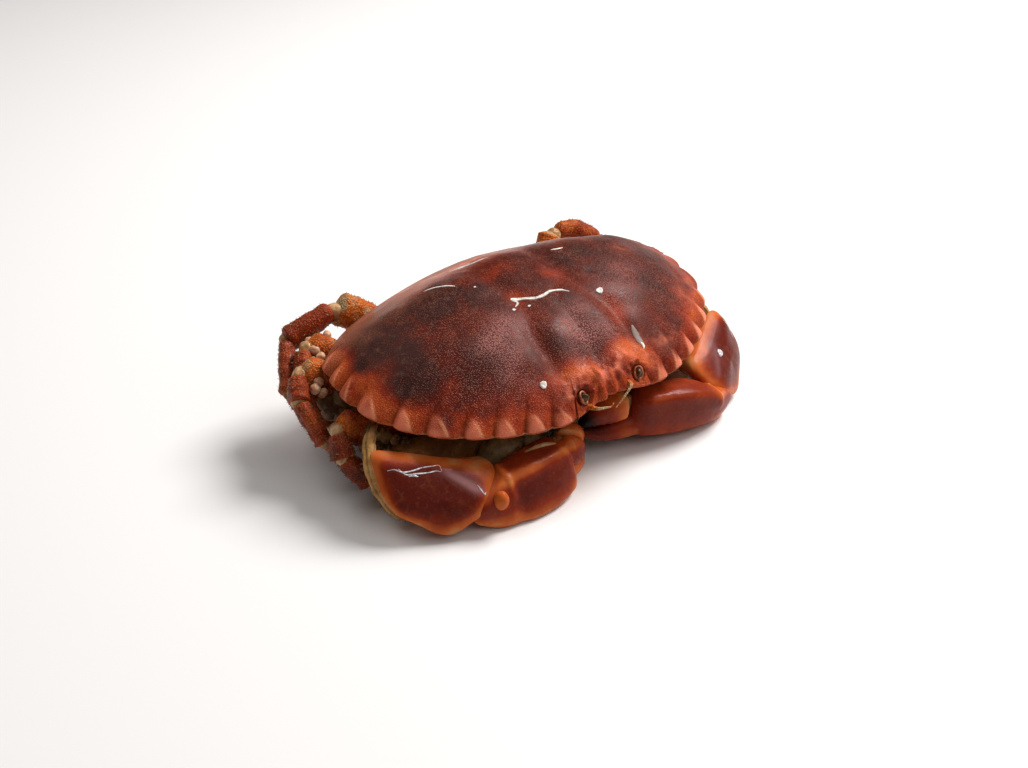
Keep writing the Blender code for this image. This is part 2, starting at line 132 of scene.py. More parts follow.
# Folds of the rim: where each ends in degrees from the front, and where its crest lies inside and at the rim.
LOBE_EDGES = np.array((12.5, 20.5, 28.4, 37.2, 46.1, 57.6, 68.9, 85.0, 96.5, 106.7, 118.0))
LOBE_DEPTH = 2.4
LOBE_START = 0.84
FOLD_START = 0.925
FOLD_HEIGHT = 1.5
FOLD_CREST = (0.85, 0.32)

# The underside of the rim: share of the way out, and height below the rim.
UNDER_DEPTH = 13.0
UNDERTURN = ((1.0, -0.25), (0.995, -1.0), (0.975, -2.1), (0.93, -3.3), (0.85, -5.4), (0.74, -9.2),
             (0.66, -11.5), (0.3, -11.8))

# Each eye stands in a socket that is pressed back into the shell, with a knobbly lip round it.
EYE_PLACE = (12.8, -50.4, 36.6)
EYE_SOCKET_RADIUS = 3.3
SOCKET_WAY = (0.25, 0.88, -0.40)
SOCKET_LIP_HEIGHT = 0.95
SOCKET_LIP_KNOBS = 9.0

# Roughness of the shell, and lumps of its front edge: height, size and seed.
SHELL_ROUGHNESS = ((0.22, 8.0, 1), (0.1, 3.2, 2))
FRONT_LUMPS = ((1.4, 3.0, 5), (0.8, 1.5, 6))

# Swellings of the shell, the same on both sides: x, y, spread along x and y, height.
SWELLINGS = (
    (9.0, -32.0, 8.0, 9.0, 1.9),
    (30.0, -24.0, 12.0, 11.0, 1.7),
    (44.0, 2.0, 18.0, 16.0, 1.2),
    (0.0, 20.0, 10.0, 14.0, 0.9),
    (9.0, -46.5, 4.6, 4.0, 2.2),
    (17.5, -33.0, 4.0, 10.0, -1.7),
    (13.5, 4.0, 4.0, 12.0, -1.3),
    (0.0, -40.0, 3.0, 8.0, -1.0),
    (4.5, -27.0, 4.0, 5.0, 0.5),
    (25.0, -36.5, 5.0, 5.0, 0.7),
    (37.0, -29.0, 6.0, 6.0, 0.5),
    (23.0, -45.0, 3.4, 3.0, 0.8),
    (30.5, -42.0, 3.4, 3.0, 0.5),
    (3.2, -48.0, 2.0, 2.6, 0.8),
    (15.5, -47.0, 2.4, 1.8, 0.9),
    (31.0, 14.0, 9.0, 11.0, 0.6),
    (57.0, 12.0, 12.0, 10.0, 0.5),
    (58.0, -13.0, 9.0, 9.0, 0.4),
    (0.0, 35.0, 9.0, 5.0, 0.6),
)

# Furrows between the swellings: points along each, its half width, its depth and how red it is.
FURROWS = (
    (((11.5, -9.0), (13.0, -16.0), (16.5, -25.0), (18.0, -35.0), (16.5, -43.0)), 3.6, 0.55, 0.55),
    (((12.0, -6.0), (13.0, 2.0), (10.5, 12.0), (9.0, 26.0)), 4.0, 0.25, 0.2),
    (((16.5, -25.0), (25.0, -30.5), (34.0, -36.0)), 3.6, 0.25, 0.25),
    (((3.0, -13.0), (9.0, -10.0), (14.0, -11.0)), 2.6, 0.3, 0.5),
)

# Small round pits: x, y, radius, depth. They belong to this crab, so they aren't mirrored.
PITS = (
    (-71.0, 3.0, 1.5, 0.7),
    (-65.0, -15.0, 1.7, 0.8),
    (23.0, -10.0, 1.6, 0.5),
    (-52.0, -24.0, 0.9, 0.3),
    (-58.0, 12.0, 0.9, 0.3),
    (40.0, -36.0, 1.0, 0.35),
    (-38.0, -3.0, 0.8, 0.25),
)


def smooth_step(low, high, value):
    share = np.clip((value - low) / (high - low), 0.0, 1.0)
    return share * share * (3.0 - 2.0 * share)


def band(value, centre, width):
    """1 where a value is at a centre, easing to 0 away from it."""
    return np.exp(-(((value - centre) / width) ** 2))


def unit(vector):
    return np.asarray(vector, float) / np.linalg.norm(vector)


def mirrored(points, side):
    """Points of the crab's left, on the side that is asked for."""
    return np.array(points, float) * (side, 1.0, 1.0)


def lumps(points, size, seed):
    """Smooth random values from -1 to 1 over points, with features of about one size."""
    lattice = np.random.default_rng(seed).random((32, 32, 32)) * 2.0 - 1.0
    place = np.asarray(points, float) / size
    cell = np.floor(place).astype(int)
    inside = place - cell
    inside = inside * inside * (3.0 - 2.0 * inside)
    total = np.zeros(place.shape[:-1])
    for corner in np.ndindex(2, 2, 2):
        weight = np.prod(np.where(corner, inside, 1.0 - inside), axis=-1)
        index = (cell + corner) % 32
        total += weight * lattice[index[..., 0], index[..., 1], index[..., 2]]
    return total


def roughness(points, *kinds):
    """Sum of lumps, each of a height, a size and a seed."""
    return sum(height * lumps(points, size, seed) for height, size, seed in kinds)


def shell_outline(turn):
    """Rim before its lobes; turn is in degrees from the front."""
    angle = np.radians(turn)
    x = SHELL_HALF_WIDTH * np.sin(angle)
    spread, depth = FRONT_FLAT
    front = depth * band(turn, 0.0, spread) - SHELL_FRONT * np.cos(angle)
    ahead = np.abs(turn) <= 90.0
    taper = np.where(ahead, 1.0, np.maximum(np.abs(np.sin(angle)), 1e-9) ** REAR_TAPER)
    return x * taper, np.where(ahead, front, -SHELL_REAR * np.cos(angle))


def lobe_across(turn):
    """Place across a rim lobe, 0 at its front notch and 1 at its rear one, and -1 off the lobes."""
    turn = np.abs(turn)
    lobe = np.clip(np.searchsorted(LOBE_EDGES, turn) - 1, 0, len(LOBE_EDGES) - 2)
    across = (turn - LOBE_EDGES[lobe]) / (LOBE_EDGES[lobe + 1] - LOBE_EDGES[lobe])
    return np.where((turn > LOBE_EDGES[0]) & (turn < LOBE_EDGES[-1]), across, -1.0)


def lobe_crown(across):
    """How far a lobe stands out: 0 in its notches."""
    return np.where(across < 0.0, 0.0, 1.0 - np.abs(2.0 * across - 1.0) ** 2.6)


def fold_crest(share):
    """Where a lobe's crest lies across it: near its rear notch inside, and near its front one at the rim."""
    near = np.clip((share - FOLD_START) / (1.0 - FOLD_START), 0.0, 1.0)
    return FOLD_CREST[0] + (FOLD_CREST[1] - FOLD_CREST[0]) * near ** 0.8


def lobe_fold(across, crest):
    """Height over a lobe: a steep front, a crest, then a flat facet that falls to the rear notch."""
    rise = np.clip(across / crest, 0.0, 1.0) ** 1.4
    fall = 1.0 - 0.7 * np.clip((across - crest) / (1.0 - crest), 0.0, 1.0) ** 1.2
    fold = np.where(across < crest, rise, fall * (1.0 - np.clip(across, 0.0, 1.0) ** 12))
    return np.where(across < 0.0, 0.0, fold)


def shell_rim(turn, lobing):
    """Rim with its rear corners, and with as much of the lobes and teeth as lobing says."""
    x, y = shell_outline(turn)
    across = lobe_across(turn)
    grow = np.where(across >= 0.0, LOBE_DEPTH * (lobe_crown(across) - 0.62), 0.0) * lobing
    tooth = 0.5 + 0.5 * np.cos(3.0 * math.pi * x / ROSTRUM_HALF)
    grow = grow + np.where((np.abs(x) < ROSTRUM_HALF) & (y < 0.0), ROSTRUM_DEPTH * tooth, 0.0) * lobing
    corner, spread, swell = REAR_CORNER
    grow = grow + swell * band(np.abs(turn), corner, spread)
    corner, spread, swell = RIGHT_CORNER
    grow = grow + swell * band(turn, -corner, spread)
    length = np.hypot(x, y)
    return x * (1.0 + grow / length), y * (1.0 + grow / length)


def bump(x, y, centre_x, centre_y, spread_x, spread_y):
    return np.exp(-(((x - centre_x) / spread_x) ** 2) - ((y - centre_y) / spread_y) ** 2)


def line_distance(x, y, line):
    """Distance from places on the shell to a bent line."""
    nearest = np.full(np.shape(x), 1e9)
    for start, end in zip(line, line[1:]):
        way_x = end[0] - start[0]
        way_y = end[1] - start[1]
        along = ((x - start[0]) * way_x + (y - start[1]) * way_y) / (way_x ** 2 + way_y ** 2)
        along = np.clip(along, 0.0, 1.0)
        gap = np.hypot(x - start[0] - along * way_x, y - start[1] - along * way_y)
        nearest = np.minimum(nearest, gap)
    return nearest


def furrow_share(x, y, line, width):
    return band(line_distance(np.abs(x), y, line), 0.0, width)


def furrow_mask(x, y):
    shares = [redness * furrow_share(x, y, line, width) for line, width, depth, redness in FURROWS]
    return np.max(shares, axis=0)


def shell_relief(x, y):
    """Height of the shell's swellings, less its furrows and pits."""
    total = np.zeros(np.shape(x))
    for centre_x, centre_y, spread_x, spread_y, height in SWELLINGS:
        total += height * bump(np.abs(x), y, centre_x, centre_y, spread_x, spread_y)
    for line, width, depth, redness in FURROWS:
        total -= depth * furrow_share(x, y, line, width)
    for centre_x, centre_y, radius, depth in PITS:
        total -= depth * bump(x, y, centre_x, centre_y, radius, radius)
    return total


def front_raise(x, y):
    spread_x, spread_y, height = FRONT_RAISE
    return height * bump(x, y, 0.0, -SHELL_FRONT + FRONT_FLAT[1], spread_x, spread_y)


def shell_top(turn, share):
    """Points of one ring of the shell's top, at a share of the way from its middle to its rim."""
    near_rim = np.clip((share - LOBE_START) / (1.0 - LOBE_START), 0.0, 1.0)
    rim_x, rim_y = shell_rim(turn, near_rim)
    x = rim_x * share
    y = rim_y * share
    first, second = DOME_POWERS
    height = DOME_HEIGHT * (1.0 - share ** first) ** second
    height = height + shell_relief(x, y) * (1.0 - share ** 6) + front_raise(x, y)
    height = height - REAR_SLOPE * smooth_step(8.0, 34.0, y) * (1.0 - share ** 8)
    fold = lobe_fold(lobe_across(turn), fold_crest(share)) - 0.45
    height = height + FOLD_HEIGHT * smooth_step(FOLD_START - 0.01, 0.985, share) * fold
    flat = np.stack([x, y, np.zeros_like(x)], axis=-1)
    height = height + roughness(flat, *SHELL_ROUGHNESS) * (1.0 - share ** 8)
    height = height + roughness(flat, *FRONT_LUMPS) * bump(x, y, 0.0, -49.0, 25.0, 4.5)
    return np.stack([x, y, RIM_HEIGHT + height + y * math.tan(NOSE_DOWN)], axis=-1)


def shell_under(turn, share, drop):
    """Points of one ring of the rim's underside, whose pleats follow the folds of the top."""
    rim_x, rim_y = shell_rim(turn, max(0.0, 1.0 + drop / 5.0))
    x = rim_x * share
    y = rim_y * share
    height = drop + front_raise(x, y) * (1.0 + drop / UNDER_DEPTH)
    pleat = 0.5 * (lobe_fold(lobe_across(turn), FOLD_CREST[1]) - 0.5) * max(0.0, 1.0 + drop / 7.0)
    return np.stack([x, y, RIM_HEIGHT + height + pleat + y * math.tan(NOSE_DOWN)], axis=-1)


def rim_turns(columns):
    """Turns spaced evenly along the rim, and twice as close across the face between the eyes."""
    fine = np.linspace(0.0, 180.0, 4001)
    x, y = shell_rim(fine, 1.0)
    steps = np.hypot(np.diff(x), np.diff(y)) * (1.0 + 1.4 * np.exp(-((fine[:-1] / 18.0) ** 2)))
    walked = np.concatenate([[0.0], np.cumsum(steps)])
    half = np.interp(np.linspace(0.0, walked[-1], columns // 2 + 1), walked, fine)
    return np.concatenate([half, -half[-2:0:-1]])


def ring_faces(rows, columns):
    """Quads between rings of points, closed by a fan of triangles to one pole at each end."""
    row = np.arange(rows - 1)[:, None] * columns
    step = np.arange(columns)[None, :]
    after = (step + 1) % columns
    quads = np.stack([row + step, row + after, row + columns + after, row + columns + step], axis=-1)
    first = rows * columns
    last = (rows - 1) * columns
    fans = [(index, first, (index + 1) % columns) for index in range(columns)]
    fans += [(last + index, last + (index + 1) % columns, first + 1) for index in range(columns)]
    return quads.reshape(-1, 4).tolist() + fans


def make_piece(name, points, faces, masks=None):
    """A mesh piece in place, outward faces, smooth; masks are values per point for its material."""
    mesh = bpy.data.meshes.new(name)
    mesh.from_pydata(((np.asarray(points) + CENTRE_SHIFT) * 0.001).tolist(), [], faces)
    for mask_name, values in (masks or {}).items():
        layer = mesh.attributes.new(mask_name, "FLOAT", "POINT")
        layer.data.foreach_set("value", np.ascontiguousarray(values, np.float32).ravel())
    builder = bmesh.new()
    builder.from_mesh(mesh)
    bmesh.ops.recalc_face_normals(builder, faces=builder.faces)
    builder.to_mesh(mesh)
    builder.free()
    mesh.shade_smooth()
    piece = bpy.data.objects.new(name, mesh)
    bpy.context.scene.collection.objects.link(piece)
    return piece


def ring_piece(name, rings, masks=None, poles=None, pole_masks=None):
    """A closed piece from rings. Its poles and their mask values are means of the end rings, unless given."""
    rings = np.asarray(rings)
    poles = [rings[0].mean(0), rings[-1].mean(0)] if poles is None else poles
    full = {}
    for mask_name, values in (masks or {}).items():
        values = np.broadcast_to(values, rings.shape[:2])
        at_poles = (pole_masks or {}).get(mask_name, (values[0].mean(), values[-1].mean()))
        full[mask_name] = np.append(values.ravel(), at_poles)
    points = np.concatenate([rings.reshape(-1, 3), poles])
    return make_piece(name, points, ring_faces(*rings.shape[:2]), full)


def finish_piece(piece, material, slot, *nodes):
    """The crab's parts all lie on one body. A piece stands for the solids that it names."""
    piece.data.materials.clear()
    piece.data.materials.append(material)
    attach(piece, "root")
    if nodes:
        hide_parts(*nodes)


def hollow_socket(points, side):
    """Presses the shell back wherever it lies inside an eye socket's ball, and raises the lip round it."""
    back = unit(mirrored(SOCKET_WAY, side))
    offset = points - mirrored(EYE_PLACE, side)
    along = offset @ back
    square = np.sum(offset ** 2, axis=-1)
    inside = square < EYE_SOCKET_RADIUS ** 2
    reach = np.sqrt(np.maximum(along ** 2 - square + EYE_SOCKET_RADIUS ** 2, 0.0))
    moved = points + back * np.where(inside, reach - along, 0.0)[..., None]
    sideways = np.cross(back, (0.0, 0.0, 1.0))
    turn = np.arctan2(offset @ np.cross(sideways, back), offset @ sideways)
    knobs = 0.6 + 0.4 * np.cos(SOCKET_LIP_KNOBS * turn)
    lip = SOCKET_LIP_HEIGHT * knobs * band(np.sqrt(square), EYE_SOCKET_RADIUS + 1.0, 0.8) * ~inside
    return moved + np.array((0.0, -0.35, 1.0)) * (lip * smooth_step(-2.0, 0.0, offset[..., 2]))[..., None]


# The rings run from the middle of the top out to the rim, twice as close near it, and in below. What lies
# highest is eased down a little, so that the crown keeps below the top of its solid.
SHELL_COLUMNS = 620
CROWN_EASE = 0.34
shell_turns = rim_turns(SHELL_COLUMNS)
top_shares = np.concatenate([np.linspace(0.015, 0.82, 48, endpoint=False), np.linspace(0.82, 1.0, 48)])
top_rings = np.stack([shell_top(shell_turns, share) for share in top_shares])
under_stations = np.linspace(0.0, 1.0, len(UNDERTURN))
under_places = np.linspace(0.0, 1.0, 24)
under_shares, under_drops = (np.interp(under_places, under_stations, values) for values in zip(*UNDERTURN))
under_rings = np.stack([shell_under(shell_turns, *station) for station in zip(under_shares, under_drops)])
shell_rings = np.concatenate([top_rings, under_rings])
for side in (1, -1):
    shell_rings = hollow_socket(shell_rings, side)
shell_rings[..., 2] -= CROWN_EASE * smooth_step(48.0, 60.0, shell_rings[..., 2])
shell_poles = ((0.0, 0.0, shell_rings[0][:, 2].mean()), (0.0, 0.0, RIM_HEIGHT + UNDERTURN[-1][1]))

# Pigment of this crab's shell: x, y, spread along x and y, and how much darker or, below 0, more orange.
PIGMENT_PATCHES = (
    (-50.0, 10.0, 16.0, 9.0, 0.4),
    (-62.0, -18.0, 9.0, 6.0, 0.25),
    (-30.0, 2.0, 14.0, 7.0, 0.15),
    (26.0, 2.0, 14.0, 6.0, 0.2),
    (-58.0, -26.0, 14.0, 9.0, -0.1),
    (-30.0, -42.0, 12.0, 6.0, -0.2),
    (-73.0, -6.0, 6.0, 14.0, -0.3),
    (-75.0, 14.0, 5.0, 9.0, -0.7),
    (-65.0, 4.0, 6.0, 9.0, 0.3),
    (-48.0, -30.0, 9.0, 6.0, 0.14),
    (23.0, -10.0, 2.0, 2.0, 0.35),
    (-71.0, 3.0, 3.6, 3.6, 0.35),
    (-65.0, -15.0, 4.2, 4.2, 0.4),
    (-71.0, 3.0, 1.1, 1.1, 1.2),
    (-65.0, -15.0, 1.3, 1.3, 1.2),
    (-18.0, -33.0, 4.0, 6.0, 0.1),
    (13.0, -43.5, 6.0, 4.0, -1.0),
    (-13.0, -43.0, 7.0, 3.6, -0.55),
    (-3.0, -46.0, 7.0, 3.4, -0.4),
    (7.0, -41.0, 5.0, 3.0, -0.2),
    (19.0, -46.0, 6.0, 4.0, -0.35),
    (20.0, -30.0, 3.0, 6.0, -0.4),
    (9.0, -4.0, 6.0, 3.0, -0.25),
    (-9.0, 7.0, 7.0, 3.6, -0.25),
    (-12.0, -9.0, 4.0, 4.0, -0.4),
    (-22.0, 22.0, 16.0, 7.0, -0.35),
    (2.0, 18.0, 12.0, 5.0, -0.3),
    (-37.0, 22.0, 9.0, 5.0, -0.3),
    (66.0, -18.0, 8.0, 16.0, -0.08),
    (52.0, -33.0, 8.0, 6.0, -0.15),
)

# Lilac on the bosses of the shell, partly the shell's own bloom and partly painted sheen where the light
# catches them: x, y, spread along x and y, and strength.
BLOOM_AND_SHEEN_PATCHES = (
    (-23.0, -19.0, 7.0, 6.0, 0.85),
    (-33.0, -22.5, 7.0, 5.0, 0.85),
    (-28.0, -30.0, 6.0, 4.0, 0.7),
    (-34.0, -34.0, 5.0, 3.0, 0.45),
    (-29.0, -39.5, 4.0, 2.5, 0.4),
    (-4.0, -30.0, 6.0, 5.0, 0.85),
    (2.0, -34.0, 5.0, 4.5, 0.9),
    (10.0, -35.5, 4.5, 4.0, 0.8),
    (5.0, -25.0, 6.0, 4.0, 0.7),
    (22.5, -22.0, 5.0, 5.0, 0.55),
    (31.0, -22.0, 7.0, 5.0, 0.5),
    (25.0, -31.5, 5.0, 3.0, 0.5),
    (36.0, -13.0, 10.0, 6.0, 0.4),
    (-8.0, -38.0, 4.0, 3.0, 0.4),
    (-19.0, -3.0, 5.0, 3.0, 0.25),
)

# Painted highlight, pink, on the raised knobs of the front edge and on swellings over the rear and sides: x,
# y, spread along x and y, and strength.
PINK_HIGHLIGHT_PATCHES = (
    (-12.0, -45.8, 4.6, 2.2, 0.75),
    (-18.0, -48.0, 4.0, 1.6, 0.5),
    (-3.0, -47.4, 3.0, 2.4, 0.8),
    (4.0, -47.4, 3.4, 2.6, 0.8),
    (11.0, -44.0, 4.0, 2.0, 0.45),
    (19.0, -47.2, 4.0, 1.6, 0.6),
    (31.0, -43.4, 5.0, 2.0, 0.45),
    (60.0, -26.0, 6.0, 4.0, 0.3),
    (-18.0, 30.0, 10.0, 3.0, 0.8),
    (-30.0, 35.0, 8.0, 3.4, 0.8),
    (-5.0, 27.6, 6.0, 2.6, 0.9),
    (3.0, 28.6, 4.0, 2.2, 0.5),
    (32.0, 18.0, 7.0, 2.4, 0.35),
    (47.0, -1.0, 4.0, 3.0, 0.3),
)


def patches(x, y, table):
    total = np.zeros(np.shape(x))
    for centre_x, centre_y, spread_x, spread_y, amount in table:
        total += amount * bump(x, y, centre_x, centre_y, spread_x, spread_y)
    return total


def shell_masks():
    """Where pigment, bloom and painted sheen, furrow, rear tan, facets and crests with painted highlight,
    painted shade in notches and creases, and the underside's cream lie.
    """
    share = np.concatenate([top_shares, under_shares])[:, None]
    top = 1.0 - (np.arange(len(share)) >= len(top_shares))[:, None]
    x = shell_rings[..., 0]
    y = shell_rings[..., 1]
    wander = roughness(shell_rings, (0.05, 9.0, 3), (0.03, 3.5, 4))
    edge = share + wander
    pigment = 0.86 - 0.18 * smooth_step(0.70, 0.92, edge) - 0.40 * smooth_step(0.89, 1.0, edge)
    pigment = pigment + patches(x, y, PIGMENT_PATCHES) - 0.15 * furrow_mask(x, y)
    tan = smooth_step(6.0, 30.0, y + 26.0 * wander * 4.0) * smooth_step(0.25, 0.7, edge)
    across = lobe_across(shell_turns)[None, :]
    crest_place = fold_crest(share)
    forward_lobes = 0.35 + 0.65 * smooth_step(98.0, 78.0, np.abs(shell_turns))[None, :]
    # The facet behind each crest is pink partly from the worn shell of the lobe and partly as painted
    # highlight where it faces the light.
    facet_pink_and_highlight = smooth_step(crest_place - 0.02, crest_place + 0.07, across) * smooth_step(1.0, 0.72, across)
    facet_pink_and_highlight = facet_pink_and_highlight * smooth_step(FOLD_START, 0.995, share + 0.6 * wander) * top * forward_lobes
    facet_pink_and_highlight = facet_pink_and_highlight * (1.05 + 0.5 * lumps(shell_rings, 2.4, 9))
    pink_highlight = patches(x, y, PINK_HIGHLIGHT_PATCHES) * (0.6 + 0.8 * lumps(shell_rings, 1.8, 8)) * top
    # Painted shade: on the slope in front of each crest, in the notches between lobes, and in the hollows
    # between the front lumps.
    shade = smooth_step(crest_place, crest_place - 0.12, across) * smooth_step(0.0, 0.1, across)
    notch_shade = np.where(across >= 0.0, 0.45 * shade + np.abs(2.0 * across - 1.0) ** 12, 0.0)
    notch_shade = notch_shade * smooth_step(0.93, 0.98, share) * top
    flat = np.stack([x, y, 0.0 * x], axis=-1)
    crease_shade = smooth_step(0.0, -0.45, roughness(flat, (1.0, 3.0, 5), (0.5, 1.5, 6)))
    crease_shade = 0.8 * crease_shade * bump(x, y, 0.0, -50.5, 24.0, 4.5) * top
    below_rim = RIM_HEIGHT + y * math.tan(NOSE_DOWN) - shell_rings[..., 2]
    return {
        "pigment": np.clip(pigment, 0.0, 1.0),
        "bloom_and_sheen": np.clip(patches(x, y, BLOOM_AND_SHEEN_PATCHES), 0.0, 1.0) * top,
        "furrow": furrow_mask(x, y) * top * (1.0 - smooth_step(0.8, 0.95, share)),
        "tan": np.clip(tan, 0.0, 1.0) * top,
        "facet_pink_and_highlight": np.clip(facet_pink_and_highlight + pink_highlight, 0.0, 1.0),
        "crest": band(across, crest_place, 0.05) * smooth_step(0.93, 0.975, share) * top,
        "notch_shade": np.clip(notch_shade + crease_shade, 0.0, 1.0),
        "under": (1.0 - top) * smooth_step(0.0, 2.5, below_rim),
    }


carapace = ring_piece("carapace_shell", shell_rings, shell_masks(), shell_poles)


def put(tree, socket, value):
    """Links or sets a socket. A colour is given without its alpha."""
    if isinstance(value, bpy.types.NodeSocket):
        tree.links.new(value, socket)
    else:
        socket.default_value = (*value, 1.0) if socket.type == "RGBA" else value


def add_node(tree, kind, settings=None, numbered=(), **named):
    """A node with its settings, and with values or links on its sockets, by number or by name."""
    node = tree.nodes.new(kind)
    for name, setting in (settings or {}).items():
        setattr(node, name, setting)
    for index, value in enumerate(numbered):
        put(tree, node.inputs[index], value)
    for name, value in named.items():
        put(tree, node.inputs[name.replace("_", " ")], value)
    return node


def maths(tree, operation, *values):
    return add_node(tree, "ShaderNodeMath", {"operation": operation}, values).outputs[0]


def stepped(tree, value, low, high, start=0.0, end=1.0):
    """A value eased from start to end as it goes from low to high."""
    settings = {"interpolation_type": "SMOOTHSTEP"}
    return add_node(tree, "ShaderNodeMapRange", settings, (value, low, high, start, end)).outputs[0]


def blended(tree, share, under, over):
    node = add_node(tree, "ShaderNodeMix", {"data_type": "RGBA"})
    for index, item in ((0, share), (6, under), (7, over)):
        put(tree, node.inputs[index], item)
    return node.outputs[2]


def tinted(tree, colour, share, amount, tint):
    """A colour with a tint over it, as far as a mask and an amount say."""
    return blended(tree, maths(tree, "MULTIPLY", share, amount), colour, tint)


def ramp(tree, value, *stops):
    """A colour read off a band of stops, each a place and a colour."""
    node = add_node(tree, "ShaderNodeValToRGB", Fac=value)
    elements = node.color_ramp.elements
    while len(elements) < len(stops):
        elements.new(0.5)
    for element, (place, colour) in zip(elements, stops):
        element.position = place
        element.color = (*colour, 1.0)
    return node.outputs["Color"]


def mask(tree, name):
    return add_node(tree, "ShaderNodeAttribute", {"attribute_name": name}).outputs["Fac"]


def noise(tree, place, scale, **named):
    return add_node(tree, "ShaderNodeTexNoise", Vector=place, Scale=scale, **named).outputs["Fac"]


def new_group(name, outputs, **inputs):
    """An empty shader node group that takes a place and numbers, with their defaults, and gives numbers."""
    group = bpy.data.node_groups.new(name, "ShaderNodeTree")
    group.interface.new_socket("Place", in_out="INPUT", socket_type="NodeSocketVector")
    for socket_name, default in inputs.items():
        socket = group.interface.new_socket(socket_name, in_out="INPUT", socket_type="NodeSocketFloat")
        socket.default_value = default
    for socket_name in outputs:
        group.interface.new_socket(socket_name, in_out="OUTPUT", socket_type="NodeSocketFloat")
    return group, group.nodes.new("NodeGroupInput").outputs


def stipple_group():
    """Fine granules of shell: a dot in each cell, its height, and the dark line between cells."""
    group, given = new_group("shell_stipple", ("Dots", "Height", "Gaps"), Fineness=1200.0)
    cells = add_node(group, "ShaderNodeTexVoronoi", {"feature": "F1"}, Vector=given["Place"],
                     Scale=given["Fineness"], Randomness=0.85).outputs["Distance"]
    size = stepped(group, noise(group, given["Place"], 160.0, Detail=2.0), 0.35, 0.65, 0.26, 0.44)
    dots = stepped(group, cells, size, maths(group, "MULTIPLY", size, 0.45))
    height = stepped(group, cells, 0.6, 0.0)
    add_node(group, "NodeGroupOutput", None, (dots, height, stepped(group, cells, 0.42, 0.62)))
    return group


def mottle_group():
    """Cloudy variation at two sizes, and small specks."""
    group, given = new_group("shell_mottle", ("Clouds", "Specks"), Size=90.0)
    clouds = noise(group, given["Place"], given["Size"], Detail=5.0, Roughness=0.62, Distortion=0.4)
    finer = maths(group, "MULTIPLY", given["Size"], 7.0)
    fine = noise(group, given["Place"], finer, Detail=3.0, Roughness=0.6)
    add_node(group, "NodeGroupOutput", None, (clouds, stepped(group, fine, 0.54, 0.72)))
    return group


def damp_group():
    """Roughness of a damp skin: glossy where the wet film is whole, duller where it has dried."""
    group, given = new_group("damp_film", ("Roughness",), Wet=0.3, Dry=0.55)
    film = noise(group, given["Place"], 55.0, Detail=3.0, Roughness=0.55)
    add_node(group, "NodeGroupOutput", None, (stepped(group, film, 0.35, 0.68, given["Wet"], given["Dry"]),))
    return group


stipple = stipple_group()
mottle = mottle_group()
damp_film = damp_group()


def grouped(tree, group, **values):
    """The outputs of a node group, read at the place on the object."""
    place = add_node(tree, "ShaderNodeTexCoord").outputs["Object"]
    return add_node(tree, "ShaderNodeGroup", {"node_tree": group}, Place=place, **values).outputs


def new_look(name, viewed, cloud_size, fineness=None):
    """A Principled material, with the mottle and the grain that it is painted from.

    viewed is its plain colour for a solid view.
    """
    material = bpy.data.materials.new(name)
    material.use_nodes = True
    material.diffuse_color = (*viewed, 1.0)
    tree = material.node_tree
    cloud = grouped(tree, mottle, Size=cloud_size)
    grain = grouped(tree, stipple, Fineness=fineness) if fineness else None
    return material, tree, cloud, grain


def clouded(tree, name, cloud, amount):
    """A mask shifted up and down by the mottle."""
    shift = maths(tree, "MULTIPLY_ADD", cloud["Clouds"], amount, -amount / 2.0)
    return maths(tree, "ADD", mask(tree, name), shift)


def finish_look(material, colour, damp=None, relief=None, **uniform):
    """Puts on the colour, the roughness wet and dry, and a relief of a height, a depth and a strength."""
    tree = material.node_tree
    shader = tree.nodes["Principled BSDF"].inputs
    put(tree, shader["Base Color"], colour)
    if damp:
        put(tree, shader["Roughness"], grouped(tree, damp_film, Wet=damp[0], Dry=damp[1])["Roughness"])
    if relief:
        height, distance, strength = relief
        raised = add_node(tree, "ShaderNodeBump", Height=height, Distance=distance, Strength=strength)
        put(tree, shader["Normal"], raised.outputs["Normal"])
    for name, value in uniform.items():
        shader[name.replace("_", " ")].default_value = value
    return material


ORANGE_SHELL = (0.60, 0.102, 0.019)
RED_SHELL = (0.31, 0.031, 0.007)
MAROON_SHELL = (0.108, 0.0125, 0.0055)
DUSKY_SHELL = (0.045, 0.013, 0.010)
STIPPLE_ORANGE = (0.52, 0.135, 0.045)
LILAC_BLOOM_AND_SHEEN = (0.48, 0.195, 0.175)
FACET_PINK_AND_HIGHLIGHT = (0.86, 0.235, 0.135)
REAR_TAN = (0.46, 0.170, 0.100)
UNDER_CREAM = (0.50, 0.30, 0.13)
UNDER_BROWN = (0.26, 0.10, 0.035)
FURROW_RED = (0.26, 0.030, 0.010)
GAP_BROWN = (0.030, 0.006, 0.004)
CREST_HIGHLIGHT = (0.86, 0.35, 0.18)
NOTCH_SHADE_RED = (0.15, 0.012, 0.005)
SPECK_PALE = (0.70, 0.42, 0.30)


